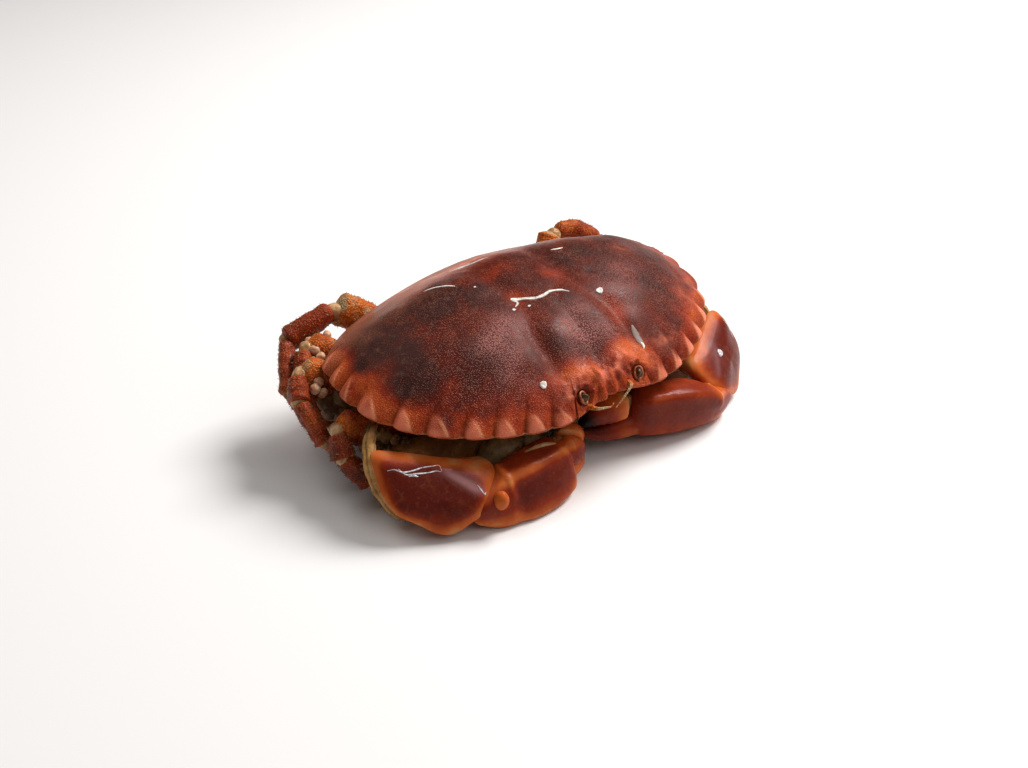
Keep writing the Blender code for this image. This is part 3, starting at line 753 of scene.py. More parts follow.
def shell_material():
    """Pigment runs from 0, orange, over red, to 1, dusky maroon."""
    material, tree, cloud, grain = new_look("boiled_shell", MAROON_SHELL, 75.0, 1800.0)
    colour = ramp(tree, clouded(tree, "pigment", cloud, 0.9), (0.04, ORANGE_SHELL), (0.42, RED_SHELL),
                  (0.74, MAROON_SHELL), (1.0, DUSKY_SHELL))
    colour = tinted(tree, colour, mask(tree, "tan"), 0.7, REAR_TAN)
    veined = stepped(tree, cloud["Clouds"], 0.38, 0.6, 0.1, 0.7)
    colour = tinted(tree, colour, mask(tree, "furrow"), veined, FURROW_RED)
    between = stepped(tree, grain["Gaps"], 0.0, 1.0, 0.62, 0.2)
    # Lilac over the bosses: partly the shell's bloom, partly painted sheen where the light catches them.
    colour = tinted(tree, colour, mask(tree, "bloom_and_sheen"), between, LILAC_BLOOM_AND_SHEEN)
    dotted = maths(tree, "MULTIPLY", grain["Dots"], stepped(tree, cloud["Clouds"], 0.3, 0.62, 0.75, 0.3))
    dotted = maths(tree, "MULTIPLY", dotted, stepped(tree, mask(tree, "tan"), 0.1, 0.8, 1.0, 0.25))
    colour = tinted(tree, colour, dotted, 0.6, STIPPLE_ORANGE)
    colour = tinted(tree, colour, grain["Gaps"], 0.35, GAP_BROWN)
    # Pink on the rim's facets, partly worn shell and partly painted highlight; on the knobs and rear
    # swellings, painted highlight.
    colour = tinted(tree, colour, mask(tree, "facet_pink_and_highlight"), 0.72, FACET_PINK_AND_HIGHLIGHT)
    # Painted highlight along each lobe's crest.
    colour = tinted(tree, colour, mask(tree, "crest"), 0.62, CREST_HIGHLIGHT)
    # Painted shade in the notches, on the slopes in front of the crests and in the creases of the front.
    colour = tinted(tree, colour, mask(tree, "notch_shade"), 0.75, NOTCH_SHADE_RED)
    colour = tinted(tree, colour, cloud["Specks"], 0.06, SPECK_PALE)
    below = ramp(tree, cloud["Clouds"], (0.3, UNDER_BROWN), (0.62, UNDER_CREAM))
    colour = blended(tree, mask(tree, "under"), colour, below)
    height = maths(tree, "MULTIPLY_ADD", cloud["Specks"], 0.3, grain["Height"])
    return finish_look(material, colour, (0.28, 0.42), (height, 0.00026, 0.6), Specular_IOR_Level=0.1)


finish_piece(carapace, shell_material(), "shell", "carapace")


# What grew on the shell: a chalky tube that a worm left, two round scars of barnacles, thin chalk scrapes
# and one grey-green scar. All are limy crusts that stand slightly proud of the shell.
def surface_tree(piece):
    return BVHTree.FromPolygons([vertex.co.copy() for vertex in piece.data.vertices],
                                [tuple(face.vertices) for face in piece.data.polygons])


def surface_place(tree, start, way):
    """Where a line first meets a surface, and the outward direction there, in millimetres."""
    start = Vector((np.array(start) + CENTRE_SHIFT) * 0.001)
    place, normal, index, distance = tree.ray_cast(start, Vector(way))
    return np.array(place) * 1000.0 - CENTRE_SHIFT, np.array(normal)


shell_tree = surface_tree(carapace)


def on_shell(x, y):
    return surface_place(shell_tree, (x, y, 200.0), (0.0, 0.0, -1.0))


def spline(points, places):
    """Values on a smooth line through the points, read at places from 0 to 1."""
    points = np.asarray(points, float)
    padded = np.vstack([2 * points[0] - points[1], points, 2 * points[-1] - points[-2]])
    along = np.clip(np.asarray(places, float), 0.0, 1.0) * (len(points) - 1)
    cell = np.minimum(along.astype(int), len(points) - 2)
    u = (along - cell)[:, None]
    a, b, c, d = (padded[cell + step] for step in range(4))
    return 0.5 * (2 * b + (c - a) * u + (2 * a - 5 * b + 4 * c - d) * u ** 2
                  + (3 * b - a - 3 * c + d) * u ** 3)


def crust_strip(name, line, half_width, height, rails=False, settle=on_shell):
    """A strip along a line on a surface, with two rails and a hollow between if it was a tube."""
    count = max(12, int(sum(math.dist(a, b) for a, b in zip(line, line[1:])) / 0.45))
    settled = [settle(first, second) for first, second in spline(line, np.linspace(0.0, 1.0, count))]
    ways = np.gradient(np.array([place for place, normal in settled]), axis=0)
    profile = TUBE_PROFILE if rails else CRUST_PROFILE
    rings = []
    for index, (place, normal) in enumerate(settled):
        side_way = half_width * np.cross(normal, unit(ways[index]))
        ends = min(1.0, 3.0 * min(index, count - 1 - index) / count + 0.25)
        wobble = 1.0 + 0.3 * lumps(place[None, :], 1.1, 7)[0]
        ring = [place + side_way * (across * ends * wobble) + normal * (height * lift * ends)
                for across, lift in zip(np.linspace(-1.0, 1.0, len(profile)), profile)]
        foot = [place + side_way * (across * ends) - normal * 0.3 for across in (0.6, 0.0, -0.6)]
        rings.append(ring + foot)
    return ring_piece(name, rings)


def crust_disc(name, x, y, radius, height, settle=on_shell):
    """A round limy scar with a low rim, a dip in its middle and a ragged edge."""
    turns = np.linspace(0.0, 2.0 * math.pi, 28, endpoint=False)
    rings = []
    for share, lift in DISC_PROFILE:
        ring = []
        for turn in turns:
            reach = radius * share * (1.0 + 0.07 * math.sin(3 * turn + x) + 0.05 * math.sin(7 * turn))
            place, normal = settle(x + reach * math.cos(turn), y + 0.8 * reach * math.sin(turn))
            ring.append(place + normal * height * lift)
        rings.append(ring)
    rings = np.array(rings)
    return ring_piece(name, rings, poles=[rings[0].mean(0) - (0, 0, 0.1), rings[-1].mean(0)])


# Heights across a crust, across a tube that has worn open, and from the middle of a disc to its foot.
CRUST_PROFILE = (-0.1, 0.45, 0.8, 1.0, 0.9, 0.95, 0.7, 0.4, -0.1)
TUBE_PROFILE = (-0.1, 0.75, 1.0, 0.55, 0.35, 0.55, 1.0, 0.75, -0.1)
DISC_PROFILE = ((0.25, 0.55), (0.5, 0.8), (0.75, 1.0), (0.92, 0.7), (1.0, 0.0), (0.8, -0.6))
CHALK_WHITE = (0.80, 0.76, 0.70)

# Lines of the tube and the scrapes as x, y, then half width and height; discs as x, y, radius and height.
WORM_LINE = ((-15.0, -13.4), (-12.6, -11.6), (-13.6, -9.3), (-10.4, -11.0), (-6.4, -13.6), (-2.6, -14.0),
             (1.4, -13.4), (5.0, -14.6), (7.4, -16.8))
SCRAPES = (
    ("scrape_rear_left", ((-36.0, 14.5), (-33.0, 12.8), (-30.0, 10.6), (-26.5, 7.6)), 0.42, 0.14),
    ("scrape_rear_mid", ((-17.0, 25.5), (-13.0, 24.0), (-9.0, 22.6), (-5.0, 20.6), (-2.5, 19.4)), 0.55, 0.16),
    ("scrape_rear_edge", ((-13.5, 26.4), (-10.5, 25.6), (-7.5, 24.2)), 0.35, 0.12),
    ("scrape_top", ((19.0, 8.2), (21.5, 7.2), (24.0, 6.8)), 0.45, 0.12),
    ("scrape_scar_end", ((20.4, -44.4), (21.0, -43.4), (20.6, -42.0)), 0.45, 0.16),
)
SPOTS = (
    ("spot_front", -25.0, -42.0, 1.35, 0.42),
    ("spot_left", 19.0, -20.6, 1.5, 0.4),
    ("spot_mid_a", -21.0, 3.0, 0.5, 0.15),
    ("spot_mid_b", -16.6, -14.6, 0.7, 0.18),
    ("spot_mid_c", -10.4, -15.6, 0.6, 0.15),
)


def chalk_material():
    material, tree, cloud, grain = new_look("chalk_crust", CHALK_WHITE, 420.0)
    colour = ramp(tree, cloud["Clouds"], (0.30, (0.40, 0.33, 0.28)), (0.52, CHALK_WHITE),
                  (0.8, (0.9, 0.88, 0.84)))
    return finish_look(material, colour, (0.45, 0.75), (cloud["Specks"], 0.00012, 0.6))


chalk = chalk_material()
finish_piece(crust_strip("worm_tube", WORM_LINE, 0.72, 0.45, rails=True), chalk, "shell")
for scrape in SCRAPES:
    finish_piece(crust_strip(*scrape), chalk, "shell")
for spot in SPOTS:
    finish_piece(crust_disc(*spot), chalk, "shell")


def scar_material():
    material, tree, cloud, grain = new_look("healed_scar", (0.33, 0.27, 0.22), 300.0)
    colour = ramp(tree, cloud["Clouds"], (0.35, (0.12, 0.055, 0.040)), (0.65, (0.25, 0.18, 0.14)))
    return finish_look(material, colour, (0.3, 0.5), (cloud["Clouds"], 0.0002, 0.5))


SCAR_LINE = ((21.4, -36.4), (20.8, -38.6), (20.6, -41.0), (21.0, -43.6))
finish_piece(crust_strip("shell_scar", SCAR_LINE, 1.3, 0.1), scar_material(), "shell")


# The trunk under the shell: the breast plate and the side walls, grown as plates with a seam between each
# pair of legs. It is thin pale shell, cream with a warm brown stain along the seams.
BODY_LEVELS = (
    (0.0, 46.0, -33.5, 31.0),
    (-3.5, 43.0, -33.0, 31.0),
    (-8.0, 34.0, -31.0, 30.0),
    (-12.5, 29.0, -28.0, 29.0),
    (-17.0, 26.5, -25.0, 27.0),
    (-20.5, 22.0, -22.0, 24.0),
)
BODY_TOP = 24.6
BODY_SQUARENESS = 0.85
BODY_LEVEL_BELOW = 4.0
BREAST_SEAMS = (-19.0, -3.0, 10.5, 23.0)


def softened(value, power):
    return np.sign(value) * np.abs(value) ** power


def trunk_ring(turns, drop, half_width, front, rear):
    x = half_width * softened(np.sin(turns), BODY_SQUARENESS)
    y = (front + rear) / 2.0 - (rear - front) / 2.0 * softened(np.cos(turns), BODY_SQUARENESS)
    height = BODY_TOP + drop
    slope = max(0.0, (height - BODY_LEVEL_BELOW) / (BODY_TOP - BODY_LEVEL_BELOW))
    return np.stack([x, y, height + y * math.tan(NOSE_DOWN) * slope], axis=-1)


def trunk_rings(rows, sides):
    """Rings down the side walls, then in across the floor."""
    turns = np.linspace(0.0, 2.0 * math.pi, sides, endpoint=False)
    levels = spline(BODY_LEVELS, np.linspace(0.0, 1.0, rows))
    rings = [trunk_ring(turns, *level) for level in levels]
    drop, half_width, front, rear = levels[-1]
    middle = (front + rear) / 2.0
    for share in np.linspace(1.0, 0.04, rows // 2)[1:]:
        rings.append(trunk_ring(turns, drop, half_width * share, middle + (front - middle) * share,
                                middle + (rear - middle) * share))
    return np.array(rings)


def seam_mask(points):
    """1 in the seams between the breast plates, which bow forward away from the middle."""
    reach = np.abs(points[..., 0])
    seams = band(points[..., 0], 0.0, 0.7) * (points[..., 2] < 6.0)
    for seam in BREAST_SEAMS:
        line = seam + 5.0 * smooth_step(4.0, 26.0, reach) * math.copysign(1.0, seam)
        seams = np.maximum(seams, band(points[..., 1], line, 0.75))
    return seams


def swelled(rings, amount):
    """Moves each ring's points out from the ring's middle by an amount per point."""
    away = rings - rings.mean(axis=1, keepdims=True)
    away = away / np.maximum(np.linalg.norm(away, axis=-1, keepdims=True), 1e-6)
    return rings + away * amount[..., None]


trunk = trunk_rings(44, 168)
trunk_seams = seam_mask(trunk)
trunk = swelled(trunk, -0.9 * trunk_seams + roughness(trunk, (0.35, 6.0, 11), (0.12, 2.0, 12)))
trunk[..., 2] += np.where(trunk[..., 2] < 5.5, 0.9 * trunk_seams, 0.0)
trunk_piece = ring_piece("trunk", trunk, {"seam": trunk_seams, "hair": smooth_step(8.0, 18.0, trunk[..., 2])},
                         pole_masks={"seam": (0.0, 1.0), "hair": (0.0, 0.0)})


def belly_material(name, cream, stain):
    material, tree, cloud, grain = new_look(name, cream, 95.0, 1500.0)
    worn = tuple(min(1.0, value * 1.25) for value in cream)
    colour = ramp(tree, cloud["Clouds"], (0.28, stain), (0.55, cream), (0.8, worn))
    colour = tinted(tree, colour, mask(tree, "seam"), 0.75, (0.16, 0.075, 0.030))
    colour = tinted(tree, colour, cloud["Specks"], 0.22, (0.45, 0.14, 0.05))
    height = maths(tree, "ADD", grain["Height"], cloud["Clouds"])
    return finish_look(material, colour, (0.34, 0.58), (height, 0.0002, 0.4), Subsurface_Weight=0.08,
                       Subsurface_Radius=SOFT_RADIUS, Subsurface_Scale=0.5)


# How far red, green and blue light spread in thin shell and skin, in metres.
SOFT_RADIUS = (0.004, 0.002, 0.001)
breast_shell = belly_material("breast_shell", (0.60, 0.42, 0.22), (0.34, 0.17, 0.07))
finish_piece(trunk_piece, breast_shell, "belly", "thorax")


# The tail flap: seven thin plates hinged in a row, broad as in a hen crab, folded forward under the trunk
# and up behind it. Pale cream shell, each plate's rear edge lapping the next, with a fringe of hair.
FLAP_LINE = (
    (-22.0, 1.9, 2.5),
    (-14.0, 1.6, 10.5),
    (-3.0, 1.5, 15.5),
    (9.0, 1.5, 17.5),
    (20.0, 1.8, 17.0),
    (29.0, 4.2, 16.0),
    (34.6, 10.5, 15.0),
    (37.2, 18.0, 14.0),
    (38.0, 24.0, 12.5),
)
FLAP_THICKNESS = 2.4
FLAP_SQUARENESS = 0.78
FLAP_RESTING_PART = 0.5
FLAP_RESTING_LIFT = 1.3
FLAP_PLATES = (0.0, 0.15, 0.29, 0.43, 0.57, 0.71, 0.86, 1.0)


def flap_rings(rows, sides):
    """Rings along the flap, with each plate's step and the groove between plates."""
    places = np.linspace(0.0, 1.0, rows)
    stations = spline(FLAP_LINE, places)
    edges = np.array(FLAP_PLATES)
    turns = np.linspace(0.0, 2.0 * math.pi, sides, endpoint=False)
    rings = []
    grooves = []
    for index, (y, z, half_width) in enumerate(stations):
        way = stations[min(index + 1, rows - 1)] - stations[max(index - 1, 0)]
        along = unit((0.0, way[0], way[1]))
        outward = np.array((0.0, along[2], -along[1]))
        plate = min(np.searchsorted(edges, places[index], "right") - 1, len(edges) - 2)
        across_plate = (places[index] - edges[plate]) / (edges[plate + 1] - edges[plate])
        groove = math.exp(-((min(across_plate, 1.0 - across_plate) / 0.07) ** 2))
        if plate == 0 and across_plate < 0.5:
            groove = 0.0
        lift = FLAP_THICKNESS / 2.0 * np.sin(turns) * (1.0 - 0.3 * groove)
        if places[index] < FLAP_RESTING_PART:
            lift = lift * FLAP_RESTING_LIFT
        across = half_width * (1.0 - 0.05 * groove) * softened(np.cos(turns), FLAP_SQUARENESS)
        rings.append(np.array((0.0, y, z)) + across[:, None] * (1.0, 0.0, 0.0) + lift[:, None] * outward)
        grooves.append([groove])
    rings = np.array(rings)
    rings[..., 2] = np.maximum(rings[..., 2], 0.02)
    return rings, np.array(grooves)


flap, flap_grooves = flap_rings(150, 72)
flap_reach = np.abs(flap[..., 0])
flap_edge = smooth_step(0.8, 0.95, flap_reach / np.maximum(flap_reach.max(1, keepdims=True), 0.1))
flap_piece = ring_piece("tail_flap", flap, {"seam": flap_grooves, "hair": flap_edge},
                        poles=((0.0, -22.8, 1.9), (0.0, 38.0, 24.6)),
                        pole_masks={"seam": (0.0, 0.0), "hair": (1.0, 0.0)})
flap_shell = belly_material("flap_shell", (0.64, 0.46, 0.25), (0.40, 0.22, 0.10))
finish_piece(flap_piece, flap_shell, "belly", "abdomen_flap")


# The mouth plates: a pair of flat jointed doors that close the mouth between the claws. Cream shell with
# an orange cast, a groove down each, and a fringe of stiff hair along the inner edges.
MOUTH_TOP = (5.4, -36.6, 18.5)
MOUTH_LOW = (5.4, -28.2, 4.2)
MOUTH_SIZE = (4.8, 1.4)


def side_name(side):
    return "left" if side > 0 else "right"


def swept(line, sizes, thin_way, rows, sides, cap=0.12, power=2.0, section=None):
    """Rings of a rounded limb along a line, the place of each ring along it, and the turns round it.

    Sizes are half widths, thin and deep. thin_way points across the thin side, and the deep way is kept
    upward. A section is a closed shape of its own, in parts of the half widths.
    """
    even = np.linspace(0.0, 1.0, rows + 2)[1:-1]
    places = 0.45 * even + 0.55 * (0.5 - 0.5 * np.cos(math.pi * even))
    centres = spline(line, places)
    widths = spline(sizes, places)
    ways = np.gradient(centres, axis=0)
    ways = ways / np.linalg.norm(ways, axis=1, keepdims=True)
    thin = np.asarray(thin_way, float) - ways * (ways @ np.asarray(thin_way, float))[:, None]
    thin = thin / np.linalg.norm(thin, axis=1, keepdims=True)
    deep = np.cross(ways, thin)
    deep = deep * (1.0 if deep[:, 2].sum() > 0.0 else -1.0)
    near = np.minimum(places, 1.0 - places)
    scale = np.where(near < cap, np.sqrt(np.maximum(1.0 - (1.0 - near / cap) ** 2, 0.0)), 1.0)
    turns = np.linspace(0.0, 2.0 * math.pi, sides, endpoint=False)
    if section is None:
        across = softened(np.cos(turns), 2.0 / power)
        upward = softened(np.sin(turns), 2.0 / power)
    else:
        closed = np.vstack([section[-1:], section, section[:2]])
        shape = spline(closed, 1.0 / (len(closed) - 1) * (1.0 + turns / (2.0 * math.pi) * len(section)))
        across = shape[:, 0]
        upward = shape[:, 1]
    across = across[None, :] * (widths[:, 0] * scale)[:, None]
    upward = upward[None, :] * (widths[:, 1] * scale)[:, None]
    rings = centres[:, None, :] + across[..., None] * thin[:, None, :] + upward[..., None] * deep[:, None, :]
    return rings, places, turns


def kept_inside(points):
    """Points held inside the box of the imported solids, and so above the table."""
    low, high = (np.array(corner) * 1000.0 - CENTRE_SHIFT for corner in solid_box)
    return np.clip(points, low + 0.02, high - 0.02)


def limb_piece(name, rings, masks=None):
    """A limb from its rings, closed by a point at both ends."""
    return ring_piece(name, kept_inside(rings), masks)


mouth_shell = belly_material("mouth_shell", (0.58, 0.36, 0.17), (0.36, 0.15, 0.05))
mouth_pieces = []
for side in (1, -1):
    plate_line = mirrored((MOUTH_TOP, MOUTH_LOW), side)
    plate_sizes = (MOUTH_SIZE, MOUTH_SIZE)
    plate, plate_places, plate_turns = swept(plate_line, plate_sizes, (1, 0, 0), 60, 48, power=2.6)
    joint_groove = band(plate_places, 0.42, 0.03)[:, None]
    long_groove = band(np.cos(plate_turns), 0.0, 0.14)[None, :] * (plate_places > 0.45)[:, None]
    plate_seams = np.maximum(joint_groove, 0.7 * long_groove)
    plate = swelled(plate, -0.45 * plate_seams + 0.12 * lumps(plate, 2.4, 21))
    plate_masks = {"seam": plate_seams, "hair": (np.cos(plate_turns) * side < -0.75)[None, :]}
    mouth_pieces.append(limb_piece("mouth_plate_shell_" + side_name(side), plate, plate_masks))
    finish_piece(mouth_pieces[-1], mouth_shell, "belly", "mouth_plate_" + side_name(side))


# The eyes: short stalks, each ending in a dark wet cornea, standing free in their sockets with a knobbly
# collar of orange-brown skin round the root.
EYE_STALK = ((1.5, 1.6, -1.1), (0.0, 0.0, 0.0), (-0.7, -1.0, 0.8))
EYE_SIZES = ((1.3, 0.8), (1.55, 0.95), (1.0, 0.6))
EYE_FACING = (-0.3, -0.75, 0.55)
COLLAR_TURNS = 48
COLLAR_SIDES = 12


def eye_material():
    material, tree, cloud, facets = new_look("cornea", (0.03, 0.03, 0.015), 500.0, 4200.0)
    colour = ramp(tree, cloud["Clouds"], (0.3, (0.020, 0.011, 0.004)), (0.7, (0.11, 0.055, 0.018)))
    colour = tinted(tree, colour, facets["Dots"], 0.2, (0.14, 0.10, 0.05))
    return finish_look(material, colour, None, (facets["Height"], 0.00003, 0.3), Roughness=0.25,
                       Specular_IOR_Level=0.2)


def collar_material():
    """Orange-brown, like the shell round it."""
    material, tree, cloud, grain = new_look("olive_skin", (0.17, 0.12, 0.05), 380.0)
    colour = ramp(tree, cloud["Clouds"], (0.3, (0.10, 0.030, 0.010)), (0.5, (0.34, 0.085, 0.024)),
                  (0.75, (0.50, 0.14, 0.045)))
    return finish_look(material, colour, (0.3, 0.6), (cloud["Clouds"], 0.0004, 0.6))


def make_collar(side):
    """A ring of skin round the eye, wider than high and of uneven thickness."""
    facing = unit(mirrored(EYE_FACING, side))
    first_way = unit(np.cross(facing, (0.0, 0.0, 1.0)))
    second_way = np.cross(facing, first_way)
    small_turns = np.linspace(0.0, 2.0 * math.pi, COLLAR_SIDES, endpoint=False)
    points = []
    for turn in np.linspace(0.0, 2.0 * math.pi, COLLAR_TURNS, endpoint=False):
        out = first_way * math.cos(turn) + second_way * math.sin(turn)
        thick = 0.5 + 0.12 * math.sin(2.0 * turn + 0.6) + 0.08 * math.sin(5.0 * turn)
        middle = mirrored(EYE_PLACE, side) + out * (1.8 - 0.4 * math.cos(2.0 * turn)) - facing * 0.8
        points += [middle + (out * math.cos(a) + facing * math.sin(a)) * thick for a in small_turns]
    faces = []
    for ring in range(COLLAR_TURNS):
        here = ring * COLLAR_SIDES
        following = (ring + 1) % COLLAR_TURNS * COLLAR_SIDES
        for step in range(COLLAR_SIDES):
            after = (step + 1) % COLLAR_SIDES
            faces.append((here + step, here + after, following + after, following + step))
    return make_piece("eye_collar_" + side_name(side), points, faces)


cornea = eye_material()
olive_skin = collar_material()
for side in (1, -1):
    stalk_line = mirrored(np.array(EYE_STALK) + EYE_PLACE, side)
    eyeball = swept(stalk_line, EYE_SIZES, (0, 0, 1), 30, 32, 0.4)[0]
    finish_piece(limb_piece("eyeball_" + side_name(side), eyeball), cornea, "eye", "eye_" + side_name(side))
    finish_piece(make_collar(side), olive_skin, "eye")


# The claws: arm, wrist block, hand with its fixed finger and round knuckle, and the hinged upper finger.
# Thick smooth shell, purple-brown on the faces, orange along every ridge and pale tan where parts meet.
ARM_LINE = ((33, -23, 10.5), (50, -21, 12), (66, -19.5, 13), (83, -21, 13.5))
ARM_SIZES = ((5.5, 7.0), (6.5, 8.5), (7.0, 9.6), (6.4, 9.6))
WRIST_OUTER = ((82, -20, 28), (47, -43, 21.8), (55.2, -53.5, 9.5), (71, -48.5, 0.5), (86, -34, 12))
WRIST_INNER = ((73, -29, 22.5), (46.4, -34, 18), (54.4, -41, 9), (64, -39, 2), (77, -32, 9))
WRIST_ROUNDS = {1: (8.5, 7.5, 6.0, 7.0, 7.0), -1: (4.5, 3.8, 6.0, 7.0, 7.0)}
WRIST_RIGHT_SHIFTS = ((2.4, 1.5, 1.0), (0.6, -1.4, -2.6), (0.0, 0.0, 0.0), (0.0, 0.0, 0.0), (1.0, 0.0, 0.0))
# How strongly the painted sheen is laid on each wrist's face; the far, left one has less.
WRIST_BLOOM_AND_SHEEN = {1: 0.4, -1: 1.0}

# From the wrist's hidden end to its face: share of the way, size there, and how far it is pushed out.
WRIST_PROFILE = (
    (0.0, 0.55, -1.4),
    (0.0, 0.82, -0.8),
    (0.08, 0.96, 0.0),
    (0.4, 1.02, 0.0),
    (0.75, 1.03, 0.0),
    (0.92, 1.0, 0.3),
    (1.0, 0.92, 1.2),
    (1.0, 0.72, 2.4),
    (1.0, 0.4, 3.5),
    (1.0, 0.05, 4.0),
)
LOW_FINGER_LINE = {
    1: ((24, -45.0, 10.0), (13, -43.6, 9.4), (4, -41.6, 9.0), (-4, -38.6, 10.0)),
    -1: ((25, -47.5, 6.5), (15, -45.5, 5.5), (9, -41.5, 5.0), (5.5, -37.5, 6.4)),
}
LOW_FINGER_SIZES = ((5.6, 5.2), (5.2, 4.6), (3.7, 3.3), (1.4, 1.3))
TOP_FINGER_LINE = {
    1: ((13.4, -43.6, 18.8), (8, -42.6, 19.0), (2, -41.2, 17.6), (-5, -38.4, 14.0)),
    -1: ((15.4, -45.6, 15.4), (13.4, -43.6, 15.4), (10.0, -40.0, 14.0), (6.4, -36.6, 11.4)),
}
TOP_FINGER_SIZES = ((4.8, 5.4), (5.2, 5.6), (4.0, 4.2), (1.4, 1.5))
KNUCKLE_PLACE = (50.6, -52.0, 11.5)
CLAW_MAROON = (0.105, 0.0125, 0.0075)
CLAW_RED = (0.23, 0.024, 0.006)
CLAW_ORANGE = (0.52, 0.105, 0.018)
CLAW_TAN = (0.52, 0.26, 0.095)

# The wrist's face bends along a line: places on the face, along and up from its middle.
WRIST_BEND = ((-24.0, 6.8), (-14.0, 5.8), (-7.0, 6.1), (0.0, 7.0), (5.0, 4.8), (12.0, 1.3), (19.0, 0.0))

# Section of the hand, in parts of its half widths: rear is positive, then up. A sharp corner makes the ridge.
HAND_SECTION = np.array((
    (-1.00, 0.00),
    (-1.01, 0.46),
    (-0.88, 0.76),
    (-0.46, 0.87),
    (0.25, 0.87),
    (0.85, 0.62),
    (1.00, 0.00),
    (0.78, -0.68),
    (0.05, -1.00),
    (-0.76, -0.74),
))
HAND_ROOT = ((61.5, -49.0, 5.0), (4.2, 5.2))
HAND_LINE = {
    1: ((50.8, -52.0, 8.0), (40.5, -49.8, 11.0), (27.5, -46.5, 13.0), (15.0, -44.0, 15.0)),
    -1: ((46.6, -49.0, 9.0), (38.0, -49.6, 9.7), (28.5, -48.8, 10.0), (17.4, -47.0, 10.4)),
}
HAND_SIZES = {
    1: ((5.6, 7.6), (8.0, 10.6), (8.3, 11.2), (6.6, 9.6)),
    -1: ((5.6, 9.8), (6.8, 10.6), (7.4, 10.2), (6.6, 8.8)),
}
HAND_RIDGE = {1: 0.05, -1: 0.26}
HAND_KNOB_SHIFT = {1: (0.0, -0.8, 0.2), -1: (1.8, -1.6, 0.6)}
HAND_LEAN = {1: 0.0, -1: 0.5}
HAND_UNDER_TAN = {1: 0.12, -1: 0.3}
HAND_OUTER_TAN = {1: 0.0, -1: 0.3}
FINGER_HUMP = ((-15.4, -46.0, 12.4), (6.2, 5.4, 6.4))


def rounded_polygon(corners, rounds, steps):
    """Points round a closed polygon whose corners are cut back and rounded."""
    points = []
    count = len(corners)
    for index in range(count):
        corner = np.array(corners[index], float)
        before = np.array(corners[index - 1], float)
        after = np.array(corners[(index + 1) % count], float)
        start = corner + (before - corner) / np.linalg.norm(before - corner) * rounds[index]
        end = corner + (after - corner) / np.linalg.norm(after - corner) * rounds[index]
        next_round = rounds[(index + 1) % count]
        after_start = after + (corner - after) / np.linalg.norm(corner - after) * next_round
        for u in np.linspace(0.0, 1.0, steps):
            points.append(start * (1 - u) ** 2 + corner * 2 * u * (1 - u) + end * u ** 2)
        for u in np.linspace(0.0, 1.0, steps + 2)[1:-1]:
            points.append(end * (1 - u) + after_start * u)
    return np.array(points)


def wrist_rings(side, rows):
    """Rings of the five-sided block from its hidden end to the middle of its face, and their stations."""
    corners = np.array(WRIST_OUTER, float)
    if side < 0:
        corners = corners + WRIST_RIGHT_SHIFTS
    outer = rounded_polygon(corners * (side, 1, 1), WRIST_ROUNDS[side], 13)
    inner_rounds = [size * 0.6 for size in WRIST_ROUNDS[side]]
    inner = rounded_polygon(mirrored(WRIST_INNER, side), inner_rounds, 13)
    outer_middle = outer.mean(0)
    inner_middle = inner.mean(0)
    forward = (outer_middle - inner_middle) / np.linalg.norm(outer_middle - inner_middle)
    stations = spline(WRIST_PROFILE, np.linspace(0.0, 1.0, rows))
    rings = []
    for share, scale, lift in stations:
        share = min(max(share, 0.0), 1.0)
        middle = inner_middle + (outer_middle - inner_middle) * share
        rings.append(middle + (inner + (outer - inner) * share - middle) * scale + forward * lift)
    return np.array(rings), stations


def claw_material():
    """Pigment runs from 0, tan, over orange and red, to 1, purple-brown."""
    material, tree, cloud, grain = new_look("claw_shell", CLAW_MAROON, 110.0, 1700.0)
    colour = ramp(tree, clouded(tree, "pigment", cloud, 0.5), (0.0, CLAW_TAN), (0.2, CLAW_ORANGE),
                  (0.52, CLAW_RED), (0.9, CLAW_MAROON))
    place = add_node(tree, "ShaderNodeTexCoord").outputs["Object"]
    web = add_node(tree, "ShaderNodeTexVoronoi", {"feature": "DISTANCE_TO_EDGE"}, Vector=place, Scale=210.0)
    veins = maths(tree, "MULTIPLY", stepped(tree, web.outputs["Distance"], 0.16, 0.0), mask(tree, "veins"))
    veins = maths(tree, "MULTIPLY", veins, stepped(tree, cloud["Clouds"], 0.42, 0.62))
    colour = tinted(tree, colour, veins, 0.16, (0.40, 0.11, 0.03))
    # Lilac: painted sheen beside the wrists' bend and faintly along the hands' faces.
    colour = tinted(tree, colour, mask(tree, "bloom_and_sheen"), 0.7, (0.36, 0.17, 0.17))
    colour = tinted(tree, colour, grain["Dots"], 0.10, (0.42, 0.13, 0.05))
    colour = tinted(tree, colour, cloud["Specks"], 0.04, (0.70, 0.42, 0.26))
    colour = blended(tree, mask(tree, "black"), colour, (0.008, 0.006, 0.006))
    height = maths(tree, "MULTIPLY_ADD", grain["Height"], 0.4, cloud["Clouds"])
    return finish_look(material, colour, (0.22, 0.36), (height, 0.00016, 0.4), Specular_IOR_Level=0.09)


claw_shell = claw_material()


def wrist_face(side):
    """Middle of the wrist's face, and its directions: outward, along towards the hand, and up."""
    corners = mirrored(WRIST_OUTER, side)
    middle = corners.mean(axis=0)
    outward = np.array((0.36 * side, -0.69, 0.63))
    outward = outward / np.linalg.norm(outward)
    along = corners[1] - corners[0]
    along = along - outward * (along @ outward)
    along = along / np.linalg.norm(along)
    upward = np.cross(outward, along)
    return middle, outward, along, upward * math.copysign(1.0, upward[2])


def above_bend(along, up):
    """Height over the bend of the wrist's face."""
    bend = np.array(WRIST_BEND)
    return up - np.interp(along, bend[:, 0], bend[:, 1])


